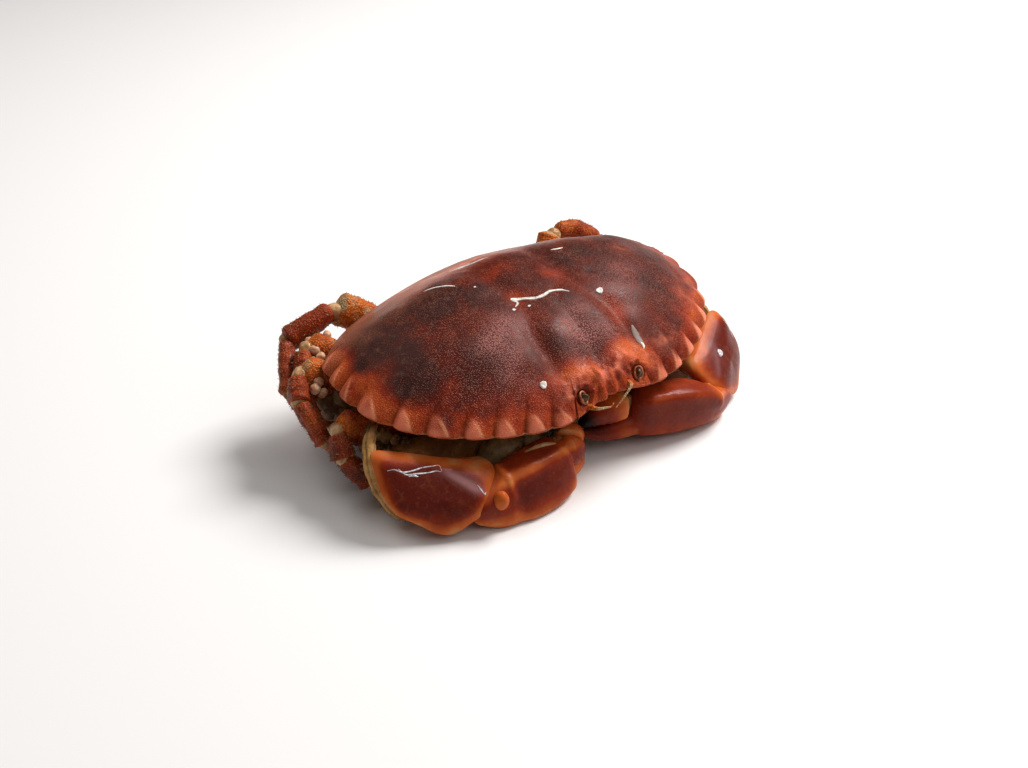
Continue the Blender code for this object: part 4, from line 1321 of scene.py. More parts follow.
def make_wrist(side):
    """The wrist block: dark on its face, tan below, with a bend along the face and painted sheen beside and
    above it.
    """
    rings, stations = wrist_rings(side, 76)
    face = smooth_step(1.0, 0.84, stations[:, 1]) * smooth_step(0.9, 1.0, stations[:, 0])
    middle, outward, along_way, up_way = wrist_face(side)
    along = (rings - middle) @ along_way
    up = (rings - middle) @ up_way
    over = above_bend(along, up)
    tent = np.exp(-np.sqrt(over ** 2 + 1.4 ** 2) / 6.5)
    face = face[:, None]
    bent = 1.5 * tent * smooth_step(1.0, 0.72, stations[:, 1])[:, None] * face
    rings = rings + outward * bent[..., None]
    rings = swelled(rings, roughness(rings, (0.26, 8.0, 31), (0.09, 2.5, 32)))
    border = smooth_step(0.95, 0.60, stations[:, 1])[:, None] * face
    low = smooth_step(14.0, 3.0, rings[..., 2] + 2.5 * lumps(rings, 4.0, 34))
    # Above the bend the face is painted lighter and lilac, as painted sheen where it turns up to the light.
    top_strip = smooth_step(1.5, 5.5, over)
    pigment = 0.18 + 0.78 * border - 0.66 * low * border - 0.22 * top_strip * border
    pigment = pigment + 0.12 * lumps(rings, 5.0, 33)
    sheen = band(over, 0.9, 1.7) * smooth_step(-3.0, 4.0, along) * border
    bloom_and_sheen = (1.2 * sheen + 0.3 * top_strip * border) * WRIST_BLOOM_AND_SHEEN[side]
    masks = {"pigment": np.clip(pigment, 0.0, 1.0), "bloom_and_sheen": np.clip(bloom_and_sheen, 0.0, 1.0),
             "veins": border * smooth_step(1.0, -3.0, over), "black": 0.0}
    piece = limb_piece("wrist_block_" + side_name(side), rings, masks)
    finish_piece(piece, claw_shell, "claw", "wrist_" + side_name(side))
    return piece


def welded(name, pieces, voxel, rounds):
    """Joins overlapping shapes into one skin, as one shell grows, and eases the creases between them."""
    base = pieces[0]
    for other in pieces[1:]:
        join = base.modifiers.new("join_" + other.name, "BOOLEAN")
        join.operation = "UNION"
        join.object = other
    skin = base.modifiers.new("skin", "REMESH")
    skin.mode = "VOXEL"
    skin.voxel_size = voxel * 0.001
    ease = base.modifiers.new("ease", "SMOOTH")
    ease.factor = 0.5
    ease.iterations = rounds
    mesh = bpy.data.meshes.new_from_object(base.evaluated_get(bpy.context.evaluated_depsgraph_get()))
    mesh.name = name
    for old in pieces:
        bpy.data.objects.remove(old, do_unlink=True)
    mesh.shade_smooth()
    piece = bpy.data.objects.new(name, mesh)
    bpy.context.scene.collection.objects.link(piece)
    return piece


def read_points(piece):
    """A piece's points and outward directions, in millimetres."""
    count = len(piece.data.vertices)
    points = np.empty(count * 3, np.float32)
    piece.data.vertices.foreach_get("co", points)
    normals = np.array([vertex.vector for vertex in piece.data.vertex_normals])
    return points.reshape(-1, 3).astype(float) * 1000.0 - CENTRE_SHIFT, normals


def write_points(piece, points):
    piece.data.vertices.foreach_set("co", ((points + CENTRE_SHIFT) * 0.001).astype(np.float32).ravel())
    piece.data.update()


def write_mask(piece, name, values):
    layer = piece.data.attributes.new(name, "FLOAT", "POINT")
    layer.data.foreach_set("value", np.ascontiguousarray(values, np.float32).ravel())


def ball(name, place, radii, columns=32, rows=18):
    """A round lump, squashed to its radii, as a start for knobs and folds that are then shaped."""
    up = np.linspace(0.0, math.pi, rows + 2)[1:-1]
    turns = np.linspace(0.0, 2.0 * math.pi, columns, endpoint=False)
    rings = np.stack([np.outer(np.sin(up), np.cos(turns)), np.outer(np.sin(up), np.sin(turns)),
                      np.outer(np.cos(up), np.ones(columns))], axis=-1)
    rings = np.array(place, float) + rings * np.array(radii, float)
    poles = np.array(place, float) + np.array(((0, 0, radii[2]), (0, 0, -radii[2])), float)
    return ring_piece(name, rings, poles=poles)


def make_hand(side):
    """The palm with its ridge and fixed lower finger, grown as one shell, and the knob of its hinge."""
    palm_line = mirrored((HAND_ROOT[0],) + HAND_LINE[side], side)
    palm_sizes = (HAND_ROOT[1],) + HAND_SIZES[side]
    palm_rings = swept(palm_line, palm_sizes, (0, 1, 0), 72, 72, 0.11, section=HAND_SECTION)[0]
    upright = smooth_step(60.0, 48.0, np.abs(palm_rings[..., 0]))
    palm_rings[..., 1] += HAND_LEAN[side] * (palm_rings[..., 2] - 9.5) * upright
    low_line = mirrored(LOW_FINGER_LINE[side], side)
    low_rings = swept(low_line, LOW_FINGER_SIZES, (0, 1, 0), 40, 36, 0.08)[0]
    pieces = [limb_piece("palm_form", palm_rings), limb_piece("low_finger_form", low_rings)]
    if side < 0:
        pieces.append(ball("finger_hump_form", *FINGER_HUMP))
    hand = welded("hand_" + side_name(side), pieces, 0.5, 4)
    points, normals = read_points(hand)
    line = palm_line[1:]
    reach = (np.abs(points[:, 0]) - abs(line[0][0])) / (abs(line[-1][0]) - abs(line[0][0]))
    stations = np.linspace(0.0, 1.0, 4)
    middle = np.interp(reach, stations, line[:, 2])
    depths = [deep for thin, deep in HAND_SIZES[side]]
    up = (points[:, 2] - middle) * 10.6 / np.interp(reach, stations, depths)
    front = np.clip(-normals[:, 1], 0.0, 1.0)
    lip = band(reach, -0.01, 0.04) * smooth_step(-1.0, 3.0, up)
    lip = lip * smooth_step(-0.2, 0.5, normals[:, 2] - 0.3 * normals[:, 1])
    swell = 0.5 * lip + 0.2 * lumps(points, 7.0, 41) + 0.06 * lumps(points, 2.0, 42)
    points = kept_inside(points + normals * swell[:, None])
    write_points(hand, points)
    ridge = band(up, 8.2, 2.0) * smooth_step(0.15, 0.5, front) * (reach < 1.05)
    face = front * smooth_step(8.5, 4.5, up) * smooth_step(-10.0, 0.0, up)
    pigment = 0.54 + (0.22 + 0.7 * HAND_RIDGE[side]) * face - HAND_RIDGE[side] * ridge - 0.2 * lip
    pigment = pigment - HAND_UNDER_TAN[side] * smooth_step(2.0, -8.0, up)
    pigment = pigment - HAND_OUTER_TAN[side] * smooth_step(0.76, 0.95, reach) * (reach < 1.4)
    pigment = pigment - 0.2 * smooth_step(0.12, -0.05, reach)
    pigment = pigment - 0.16 * smooth_step(3.0, 0.3, points[:, 2]) + 0.1 * lumps(points, 6.0, 43)
    write_mask(hand, "pigment", np.clip(pigment + 0.4 * smooth_step(1.1, 1.5, reach), 0.17, 1.0))
    # A faint painted sheen along each hand's face below its ridge.
    write_mask(hand, "bloom_and_sheen", 0.06 * band(up, 5.4, 1.6) * front)
    write_mask(hand, "veins", 0.0 * reach)
    write_mask(hand, "black", smooth_step(1.38, 1.6, reach))
    finish_piece(hand, claw_shell, "claw", "palm_" + side_name(side))
    knob_place = mirrored(np.array(KNUCKLE_PLACE) + HAND_KNOB_SHIFT[side], side)
    knob = ball("hinge_knob_" + side_name(side), knob_place, (2.7, 2.9, 3.7), 40, 26)
    points, normals = read_points(knob)
    write_points(knob, points + normals * (0.15 * lumps(points, 2.0, 45))[:, None])
    write_mask(knob, "pigment", 0.22 + 0.06 * lumps(points, 3.0, 46))
    for name in ("bloom_and_sheen", "veins", "black"):
        write_mask(knob, name, 0.0 * points[:, 0])
    finish_piece(knob, claw_shell, "claw")


def make_top_finger(side):
    """The hinged finger: blunt teeth along its biting edge and a black horny tip."""
    line = mirrored(TOP_FINGER_LINE[side], side)
    rings, places, turns = swept(line, TOP_FINGER_SIZES, (0, 1, 0), 64, 48, 0.1, 2.3)
    biting = np.clip(-np.sin(turns), 0.0, 1.0)[None, :] ** 3
    tooth = np.sin(places * 7.0 * math.pi) ** 2 * smooth_step(0.25, 0.5, places)
    teeth = 0.7 * biting * tooth[:, None]
    rings = swelled(rings, teeth + roughness(rings, (0.15, 4.0, 51), (0.06, 1.6, 52)))
    pigment = 0.2 + 0.44 * smooth_step(0.1, 0.6, places)[:, None] + 0.12 * lumps(rings, 4.0, 53)
    pigment = pigment - 0.16 * np.clip(np.sin(turns), 0.0, 1.0)[None, :] ** 2
    black = smooth_step(0.62, 0.86, places)[:, None] * np.ones_like(pigment)
    masks = {"pigment": np.clip(pigment, 0.0, 1.0), "bloom_and_sheen": 0.0, "veins": 0.0, "black": black}
    finish_piece(limb_piece("upper_finger_" + side_name(side), rings, masks), claw_shell, "claw",
                 "finger_" + side_name(side))


def arm_material():
    """Mottled brown, tan and orange; the root is browner than the outer end, which the pale mask marks."""
    material, tree, cloud, grain = new_look("arm_shell", (0.30, 0.20, 0.09), 120.0, 1400.0)
    outer = ramp(tree, cloud["Clouds"], (0.28, (0.16, 0.070, 0.018)), (0.44, (0.48, 0.24, 0.065)),
                 (0.62, (0.66, 0.37, 0.150)), (0.8, (0.50, 0.17, 0.04)))
    root = ramp(tree, cloud["Clouds"], (0.3, (0.16, 0.058, 0.016)), (0.5, (0.32, 0.125, 0.034)),
                (0.75, (0.50, 0.26, 0.08)))
    colour = blended(tree, mask(tree, "pale"), root, outer)
    colour = tinted(tree, colour, mask(tree, "seam"), 0.8, (0.09, 0.045, 0.015))
    colour = tinted(tree, colour, grain["Dots"], 0.15, (0.20, 0.09, 0.03))
    height = maths(tree, "MULTIPLY_ADD", grain["Height"], 0.6, cloud["Clouds"])
    return finish_look(material, colour, (0.36, 0.6), (height, 0.00028, 0.5), Specular_IOR_Level=0.15)


arm_shell = arm_material()

# The left arm is redder than the right one, whose outer end is tan.
ARM_PALE = {1: 0.1, -1: 0.6}
RIM_PALE = {1: 0.4, -1: 1.0}


def make_arm(side):
    """The upper arm, with a seam and a raised collar near its outer end."""
    line = mirrored(ARM_LINE, side)
    rings, places, turns = swept(line, ARM_SIZES, (0, 1, 0), 72, 56, 0.12, 2.4)
    collar = band(places, 0.86, 0.03)[:, None]
    seam = band(places, 0.80, 0.018)[:, None] * np.ones((1, 56))
    rough = roughness(rings, (0.4, 6.0, 61), (0.16, 2.2, 62))
    rings = swelled(rings, 0.6 * collar - 0.5 * seam + rough)
    outer = smooth_step(0.7, 0.95, places + 0.12 * lumps(rings[:, 0], 6.0, 63))
    masks = {"seam": seam, "hair": smooth_step(0.1, 0.8, np.sin(turns))[None, :],
             "pale": ARM_PALE[side] * outer[:, None]}
    piece = limb_piece("upper_arm_" + side_name(side), rings, masks)
    finish_piece(piece, arm_shell, "leg_joint", "arm_" + side_name(side))
    return piece


# The arm's outer end flares into a rim that wraps the back and the outer edge of the wrist.
ARM_RIM_LINE = ((73.0, -4.0, 24.8), (77.5, -9.0, 26.6), (82.0, -14.5, 26.6), (85.3, -20.3, 23.5),
                (85.6, -22.8, 17.0), (84.0, -26.5, 10.5), (80.6, -30.0, 4.6), (77.0, -31.5, 2.6))
ARM_RIM_SIZES = ((0.8, 1.6), (1.1, 2.0), (1.2, 2.3), (1.3, 2.4), (1.3, 2.4), (1.2, 2.3), (1.1, 2.0),
                 (0.7, 1.2))
ARM_RIM_TUCK = {1: (-3.0, 3.0, -1.5), -1: (-1.3, -1.0, 0.0)}
LEFT_RIM_ENDS = np.array(((-1.0, -6.0, -6.0), (-1.0, -3.0, -3.0), (0, 0, 0), (0, 0, 0), (0, 0, 0), (0, 0, 0),
                          (-2.5, 3.5, 2.5), (-5.0, 7.0, 6.0)))


def make_arm_rim(side):
    """A grooved rim, whose ends are tucked in further on the crab's left."""
    points = np.array(ARM_RIM_LINE) + ARM_RIM_TUCK[side]
    if side > 0:
        points = points + LEFT_RIM_ENDS
    line = mirrored(points, side)
    rings, places, turns = swept(line, ARM_RIM_SIZES, (0.6 * side, -0.6, 0.3), 90, 36, 0.06, 2.4)
    groove = np.exp(-((np.cos(2.0 * turns - 0.9) / 0.3) ** 2))[None, :] * np.ones((90, 1))
    rings = swelled(rings, -0.6 * groove + 0.3 * lumps(rings, 2.6, 71) + 0.2 * lumps(rings, 1.1, 72))
    masks = {"seam": 0.7 * groove, "hair": 0.5, "pale": RIM_PALE[side]}
    piece = limb_piece("arm_rim_" + side_name(side), rings, masks)
    finish_piece(piece, arm_shell, "leg_joint")
    return piece


def on_face(side):
    """A finder of places on one wrist's face, given along and up from its middle."""
    tree = surface_tree(wrist_pieces[side])
    middle, outward, along_way, up_way = wrist_face(side)

    def settle(along, up):
        return surface_place(tree, middle + outward * 30.0 + along_way * along + up_way * up, -outward)

    return settle


# Whitish and glossy: painted glint on the wrists' strips, and the grey spot of a scar on the left wrist.
def glint_and_spot_material():
    material, tree, cloud, grain = new_look("glint_and_spot_white", (0.62, 0.60, 0.62), 600.0)
    colour = ramp(tree, cloud["Clouds"], (0.35, (0.30, 0.24, 0.26)), (0.6, (0.86, 0.84, 0.86)))
    return finish_look(material, colour, None, (cloud["Clouds"], 0.0002, 0.5), Roughness=0.16)


# Painted glints: thin whitish raised strips along the bend of each wrist's face, standing in for the shine on
# its wet wrinkles: places along and up each face.
RIGHT_GLINTS = (
    ((-18.9, 6.3), (-16.4, 6.9), (-13.5, 6.2), (-10.1, 7.0), (-6.9, 8.3), (-3.6, 9.0), (-1.2, 9.4),
     (-0.2, 7.5)),
    ((-15.0, 7.3), (-12.4, 5.5), (-9.0, 6.0), (-5.2, 6.6), (-2.3, 7.4), (-0.4, 7.3)),
    ((-11.5, 4.9), (-9.6, 5.3), (-8.0, 5.1)),
    ((12.3, 3.6), (13.8, 1.8), (15.1, 0.6), (15.4, 1.4)),
)
LEFT_GLINTS = (((-17.0, 7.6), (-15.5, 3.0), (-13.6, -0.8)),)
arm_pieces = []
wrist_pieces = {}
for side in (1, -1):
    wrist_pieces[side] = make_wrist(side)
    make_hand(side)
    make_top_finger(side)
    arm_pieces.append(make_arm(side))
    arm_pieces.append(make_arm_rim(side))
glint_and_spot_white = glint_and_spot_material()
for side, glint_lines in ((1, LEFT_GLINTS), (-1, RIGHT_GLINTS)):
    for glint_index, glint_line in enumerate(glint_lines):
        glint_strip = crust_strip("film_{}_{}".format(side_name(side), glint_index), glint_line, 0.26, 0.14,
                                 settle=on_face(side))
        finish_piece(glint_strip, glint_and_spot_white, "claw")
finish_piece(crust_disc("spot_wrist", 2.3, 4.4, 1.9, 0.4, on_face(1)), glint_and_spot_white, "claw")


# The walking legs: four on each side, folded in against the body. Each has a hip, a flat thigh, a knee,
# a flat shin and a horny tip. Orange to dark red shell, rough with hair, and cream at every joint.
LEG_JOINTS = (
    ((31.5, -10, 10.5), (41, -9, 12.5), (85, 0, 26.5), (86.5, -7, 18.5), (80.5, -12.5, 8), (66, -8, 2.6)),
    ((32.2, 4, 11.5), (42, 5, 13.5), (84, 26, 36.5), (89.2, 17.5, 30), (87, 5.5, 18), (73, 0, 2.6)),
    ((30.5, 17, 12.5), (38, 19, 15), (74.5, 38, 37.5), (79.2, 30.6, 30.5), (75, 22, 12), (60, 15, 2.6)),
    ((24.5, 29.5, 14.5), (31, 34, 18), (56, 45, 44.5), (77, 46.5, 37), (86.5, 30.5, 25.5), (81, 18, 7)),
)
REAR_THIGH_BOW = {1: (0.0, 0.0, -1.0), -1: (0.0, 3.0, 4.0)}
LEFT_REAR_SHIFT = (-4.5, 3.0, -0.5)
LEFT_THIGH_DROP = np.array((0.5, -1.0, -2.2))
LEFT_KNEE_DROP = np.array((0.0, -2.0, -5.6))
LEFT_KNEE_BOW = (-1.0, 0.0, 3.2)
LEFT_LEG_TUCK = np.array((-1.5, -2.0, -3.4))
LEG_PARTS = ("hip", "thigh", "knee", "shin", "tip")
LEG_SIZES = {
    "hip": ((3.8, 4.4), (4.4, 5.2), (4.4, 4.8)),
    "thigh": ((3.2, 4.3), (3.8, 5.7), (4.2, 6.3), (4.3, 6.2)),
    "knee": ((3.1, 3.9), (3.9, 4.9), (4.2, 5.1)),
    "shin": ((2.7, 3.4), (3.3, 4.4), (3.3, 4.3), (3.1, 3.8)),
    "tip": ((2.2, 2.9), (1.9, 2.4), (1.3, 1.5), (0.4, 0.4)),
}
LEG_TONES = {"hip": 0.16, "thigh": 0.38, "knee": 0.62, "shin": 0.62, "tip": 0.52}
LEG_HAIR = {"hip": 0.1, "thigh": 0.3, "knee": 0.7, "shin": 1.0, "tip": 0.9}
LEG_LENGTH_FOLDS = {"hip": 9.0, "thigh": 95.0, "knee": 16.0, "shin": 21.0, "tip": 30.0}
JOINT_RADII = {1: 3.4, 2: 3.3, 3: 2.9, 4: 2.3}
LEG_ROWS = {"hip": 22, "thigh": 64, "knee": 30, "shin": 44, "tip": 44}
KNEE_SETBACK = 2.9
KNEE_GAP = 0.8
JOINT_CREAM = (0.58, 0.36, 0.17)
LEG_ORANGE = (0.70, 0.165, 0.017)
LEG_RED = (0.37, 0.044, 0.008)
LEG_DARK = (0.095, 0.015, 0.006)


def leg_thin_way(start, end, part):
    """Thighs are flat front to back; the parts folded against the body are flat against it."""
    if part in ("hip", "thigh"):
        return np.array((0.0, 1.0, 0.0))
    middle = (np.array(start) + np.array(end)) / 2.0
    way = np.array((middle[0] / SHELL_HALF_WIDTH ** 2, middle[1] / SHELL_REAR ** 2, 0.0))
    return way / np.linalg.norm(way)


def leg_line(number, part, start, end, cuts, side):
    """Low, middle and high point of a hard part, cut back at both joints and bowed in the rear legs."""
    start = np.array(start, float)
    end = np.array(end, float)
    along = (end - start) / np.linalg.norm(end - start)
    low = start + along * cuts[0]
    high = end - along * cuts[1]
    middle = (low + high) / 2.0
    if part == "thigh" and number == len(LEG_JOINTS):
        middle = middle + REAR_THIGH_BOW[side]
    if part == "knee" and number == len(LEG_JOINTS) and side > 0:
        middle = middle + LEFT_KNEE_BOW
    return np.array((low, middle, high))


def leg_material():
    """Tone runs from 0, cream at the joints, over orange and red, to 1, dark red-brown."""
    material, tree, cloud, grain = new_look("leg_shell", LEG_RED, 190.0, 1350.0)
    colour = ramp(tree, clouded(tree, "tone", cloud, 0.7), (0.0, (0.46, 0.36, 0.19)), (0.10, JOINT_CREAM),
                  (0.26, LEG_ORANGE), (0.58, LEG_RED), (1.0, LEG_DARK))
    colour = tinted(tree, colour, grain["Gaps"], 0.5, (0.045, 0.010, 0.004))
    colour = tinted(tree, colour, grain["Dots"], 0.2, (0.58, 0.19, 0.06))
    colour = tinted(tree, colour, cloud["Specks"], 0.35, (0.10, 0.045, 0.018))
    colour = blended(tree, mask(tree, "horn"), colour, (0.028, 0.014, 0.010))
    height = maths(tree, "MULTIPLY_ADD", grain["Height"], 0.8, cloud["Clouds"])
    return finish_look(material, colour, (0.3, 0.55), (height, 0.0005, 0.8), Specular_IOR_Level=0.14)


leg_shell = leg_material()
leg_pieces = []
joint_places = []


def make_leg_part(number, part, side, start, end, cuts):
    """One hard part: narrow at its root and flared at its outer end, with low ridges and a rough skin."""
    line = [mirrored(point, side) for point in leg_line(number, part, start, end, cuts, side)]
    thin_way = mirrored(leg_thin_way(start, end, part), side)
    seed = 100 + 10 * number + LEG_PARTS.index(part) + (50 if side > 0 else 0)
    cap = 0.16 if part in ("hip", "knee") else 0.1
    rings, places, turns = swept(line, LEG_SIZES[part], thin_way, LEG_ROWS[part], 44, cap, 2.35)
    edge = np.abs(np.sin(turns))[None, :] ** 6
    hard = smooth_step(0.0, 0.12, places)[:, None] * smooth_step(1.0, 0.9, places)[:, None]
    flute = -0.35 * np.exp(-((np.cos(2.0 * turns + 0.4) / 0.35) ** 2))[None, :] * (part in ("shin", "tip"))
    waver = 1.6 * lumps(rings[:, 0], 5.0, seed + 3)
    wrinkles = 0.11 * np.sin(places * LEG_LENGTH_FOLDS[part] + waver)[:, None]
    rough = 0.26 * lumps(rings, 2.6, seed) + 0.16 * lumps(rings, 1.1, seed + 1)
    collar = 0.5 * band(places, 0.93, 0.04)[:, None] * (part in ("thigh", "knee", "shin"))
    rings = swelled(rings, (flute + 0.3 * edge + wrinkles * (part != "tip")) * hard + rough + collar)
    redder = number == len(LEG_JOINTS) and (part == "thigh" or side > 0)
    tone = LEG_TONES[part] - 0.12 * redder + 0.16 * (number == 1) + 0.14 * lumps(rings, 4.5, seed + 2)
    tone = tone - 0.4 * np.exp(-((places / 0.07) ** 2))[:, None]
    tone = tone - 0.2 * np.exp(-(((1.0 - places) / 0.05) ** 2))[:, None]
    horn = smooth_step(0.55, 0.8, places)[:, None] * (part == "tip")
    masks = {"tone": np.clip(tone, 0.0, 1.0), "horn": horn * np.ones_like(tone),
             "hair": LEG_HAIR[part] * (0.35 + 0.65 * edge) * hard * np.ones_like(tone)}
    piece = limb_piece("leg{}_{}_shell_{}".format(number, part, side_name(side)), rings, masks)
    finish_piece(piece, leg_shell, "leg_joint" if part == "hip" else "leg",
                 "leg{}_{}_{}".format(number, part, side_name(side)))
    leg_pieces.append(piece)


def make_leg(number, joints, side):
    """Five hard parts in a row. The left legs lie tucked in closer, and the rear left knee lies lower."""
    joints = [np.array(point, float) for point in joints]
    if number == len(LEG_JOINTS) and side > 0:
        joints[2] = joints[2] + LEFT_REAR_SHIFT + LEFT_THIGH_DROP
        joints[3] = joints[3] + np.array(LEFT_REAR_SHIFT) / 2.0 + LEFT_KNEE_DROP
    elif number in (2, 3) and side > 0:
        joints[2] = joints[2] + LEFT_LEG_TUCK
        joints[3] = joints[3] + LEFT_LEG_TUCK
    thigh_way = (joints[2] - joints[1]) / np.linalg.norm(joints[2] - joints[1])
    knee_way = (joints[3] - joints[2]) / np.linalg.norm(joints[3] - joints[2])
    knee_cut = KNEE_GAP + KNEE_SETBACK * (1.0 - float(thigh_way @ knee_way))
    cuts = {"hip": (0.0, -0.8), "thigh": (-0.3, 0.0), "knee": (0.45 * knee_cut, -0.8), "shin": (0.0, -0.8),
            "tip": (0.2, 0.0)}
    for part, start, end in zip(LEG_PARTS, joints, joints[1:]):
        make_leg_part(number, part, side, start, end, cuts[part])
    bend = (knee_way - thigh_way) / np.linalg.norm(knee_way - thigh_way)
    for index, radius in JOINT_RADII.items():
        place = joints[index] + (bend * 1.6 if index == 2 else 0.0)
        joint_places.append((number, index, side, place * (side, 1, 1), radius))


for side in (1, -1):
    for leg_number, leg_joints in enumerate(LEG_JOINTS, start=1):
        make_leg(leg_number, leg_joints, side)


# The joint skins: soft folded skin that bulges between the hard parts of every limb. It is cream to
# grey-olive, moist and a little translucent, and is tucked into the shell on both sides of the joint.
def skin_material(name, dark, middle, pale):
    material, tree, cloud, grain = new_look(name, middle, 260.0)
    colour = ramp(tree, cloud["Clouds"], (0.30, dark), (0.50, middle), (0.74, pale))
    return finish_look(material, colour, (0.25, 0.5), (cloud["Clouds"], 0.0004, 0.5), Specular_IOR_Level=0.3,
                       Subsurface_Weight=0.15, Subsurface_Radius=SOFT_RADIUS, Subsurface_Scale=0.6)


joint_skin = skin_material("joint_skin", (0.20, 0.085, 0.028), (0.46, 0.25, 0.105), (0.66, 0.46, 0.27))
lump_skin = skin_material("lump_skin", (0.30, 0.12, 0.050), (0.56, 0.30, 0.17), (0.66, 0.42, 0.28))
arm_skin = skin_material("arm_skin", (0.060, 0.030, 0.009), (0.250, 0.130, 0.038), (0.50, 0.31, 0.12))
# A darker copy of the joint skin, partly painted shade, for the folds that lie in shadow under the thigh and
# the shell.
shaded_flank_skin = skin_material("shaded_flank_skin", (0.09, 0.042, 0.016), (0.20, 0.105, 0.042), (0.34, 0.20, 0.09))


def make_joint_skin(name, place, radius, seed, material=joint_skin):
    skin = ball(name, place, (radius, radius, radius), 36, 22)
    points, normals = read_points(skin)
    swell = roughness(points, (0.16 * radius, radius * 0.8, seed), (0.07 * radius, radius * 0.35, seed + 1))
    write_points(skin, kept_inside(points + normals * swell[:, None]))
    write_mask(skin, "seam", 0.0 * swell)
    write_mask(skin, "hair", 0.0 * swell + 0.8)
    finish_piece(skin, material, "leg_joint")


for leg_number, joint_index, side, joint_place, joint_radius in joint_places:
    make_joint_skin("joint_skin_{}_{}_{}".format(leg_number, joint_index, side_name(side)), joint_place,
                    joint_radius, 300 + 10 * leg_number + joint_index)

# On the crab's right side more of this skin swells in small pale lumps beside the folded knees, in dark hairy
# folds under the second thigh, darkened partly as painted shade, and in olive lumps on top of the arm: x, y,
# z and radius.
PALE_LUMPS = (
    (-68.0, 39.7, 38.0, 1.9),
    (-68.7, 34.0, 38.0, 1.8),
    (-72.5, 33.5, 37.5, 2.0),
    (-72.8, 28.7, 37.0, 1.8),
    (-76.2, 28.0, 36.5, 1.9),
    (-76.7, 23.5, 36.0, 1.9),
    (-79.8, 22.8, 35.0, 1.8),
    (-79.7, 18.8, 34.0, 2.0),
    (-82.4, 17.1, 33.0, 2.0),
    (-80.1, 15.8, 31.0, 1.8),
    (-64.7, 37.8, 39.0, 1.7),
    (-71.8, 38.9, 38.5, 1.6),
)
SHADED_FLANK_FOLDS = (
    (-74.0, 17.6, 23.0, 4.6),
    (-71.4, 15.1, 21.0, 4.8),
    (-72.6, 15.9, 26.0, 4.2),
    (-70.3, 13.0, 19.0, 4.6),
    (-73.2, 15.1, 20.0, 4.6),
    (-76.1, 17.2, 21.0, 4.2),
    (-77.5, 18.3, 25.0, 3.8),
    (-70.7, 10.5, 17.0, 4.4),
    (-69.0, -3.6, 15.5, 4.8),
    (-73.0, -3.0, 17.0, 4.4),
    (-66.5, 1.5, 13.5, 4.8),
)
ARM_LUMPS = (
    (-73.8, -1.0, 24.0, 2.4),
    (-74.4, -6.0, 24.5, 2.6),
    (-72.8, -8.6, 24.0, 2.4),
    (-71.5, -11.8, 23.5, 2.2),
    (-69.7, -14.6, 23.0, 2.0),
    (-71.0, 0.9, 23.0, 2.2),
    (-67.2, -17.1, 22.0, 1.9),
)
for lump_kind, lump_table, lump_material in (("pale_lump", PALE_LUMPS, lump_skin),
                                             ("shaded_flank_fold", SHADED_FLANK_FOLDS, shaded_flank_skin),
                                             ("arm_lump", ARM_LUMPS, arm_skin)):
    for lump_index, (*lump_place, lump_radius) in enumerate(lump_table):
        make_joint_skin("{}_{}".format(lump_kind, lump_index), lump_place, lump_radius, 500 + lump_index,
                        lump_material)

# A fold of soft skin closes the corner between the trunk, the mouth and the root of each arm, and lumps of it
# fill the hinges of hand and upper finger.
BREAST_FOLD_LINE = ((45.0, -30.5, 14.0), (34.0, -31.5, 10.5), (23.0, -29.8, 8.4), (11.0, -26.5, 8.0))
BREAST_FOLD_SIZES = ((5.0, 6.5), (6.0, 7.4), (6.0, 7.2), (4.0, 5.6))
breast_skin = skin_material("breast_skin", (0.10, 0.050, 0.018), (0.30, 0.19, 0.085), (0.48, 0.33, 0.17))
HAND_SKIN_PLACE = (53.5, -47.5, 10.0)
FINGER_SKIN_SHIFT = (2.2, 2.0, -0.6)
for side in (1, -1):
    fold_line = mirrored(BREAST_FOLD_LINE, side)
    fold, fold_places = swept(fold_line, BREAST_FOLD_SIZES, (0, 1, 0), 60, 44, 0.2, 2.3)[:2]
    fold_seams = band(fold_places, 0.42, 0.02)[:, None] * np.ones((1, 44))
    fold = swelled(fold, -0.4 * fold_seams + roughness(fold, (0.5, 6.0, 421), (0.12, 2.0, 422)))
    fold_masks = {"seam": fold_seams, "hair": 0.0}
    finish_piece(limb_piece("breast_fold_" + side_name(side), fold, fold_masks), breast_skin, "leg_joint")
for side in (1, -1):
    make_joint_skin("hand_skin_" + side_name(side), mirrored(HAND_SKIN_PLACE, side), 4.4, 401)
    finger_root = mirrored(np.array(TOP_FINGER_LINE[side][0]) + FINGER_SKIN_SHIFT, side)
    make_joint_skin("finger_skin_" + side_name(side), finger_root, 2.9, 411, arm_skin)

# A pale strip of the same skin shows along the rear edge of each hand's top, beside the finger's hinge.
HAND_STRIP_LINE = {
    1: ((36.5, -46.6, 20.6), (32.0, -47.6, 21.8), (28.0, -49.0, 22.2), (24.6, -50.6, 21.6)),
    -1: ((36.0, -44.4, 18.7), (31.5, -44.4, 19.1), (27.0, -45.2, 19.2), (22.5, -46.6, 18.8)),
}
HAND_STRIP_SHIFT = {1: (0.0, 2.0, -0.6), -1: (0.0, 0.0, 0.0)}
HAND_STRIP_SIZES = ((0.4, 0.4), (0.8, 0.7), (0.8, 0.8), (0.3, 0.3))
for side in (1, -1):
    strip_line = mirrored(np.array(HAND_STRIP_LINE[side]) + HAND_STRIP_SHIFT[side], side)
    strip = swept(strip_line, HAND_STRIP_SIZES, (0, 1, 0.4), 50, 24, 0.1)[0]
    strip = swelled(strip, 0.16 * lumps(strip, 1.6, 81))
    finish_piece(limb_piece("hand_strip_" + side_name(side), strip), joint_skin, "leg_joint")


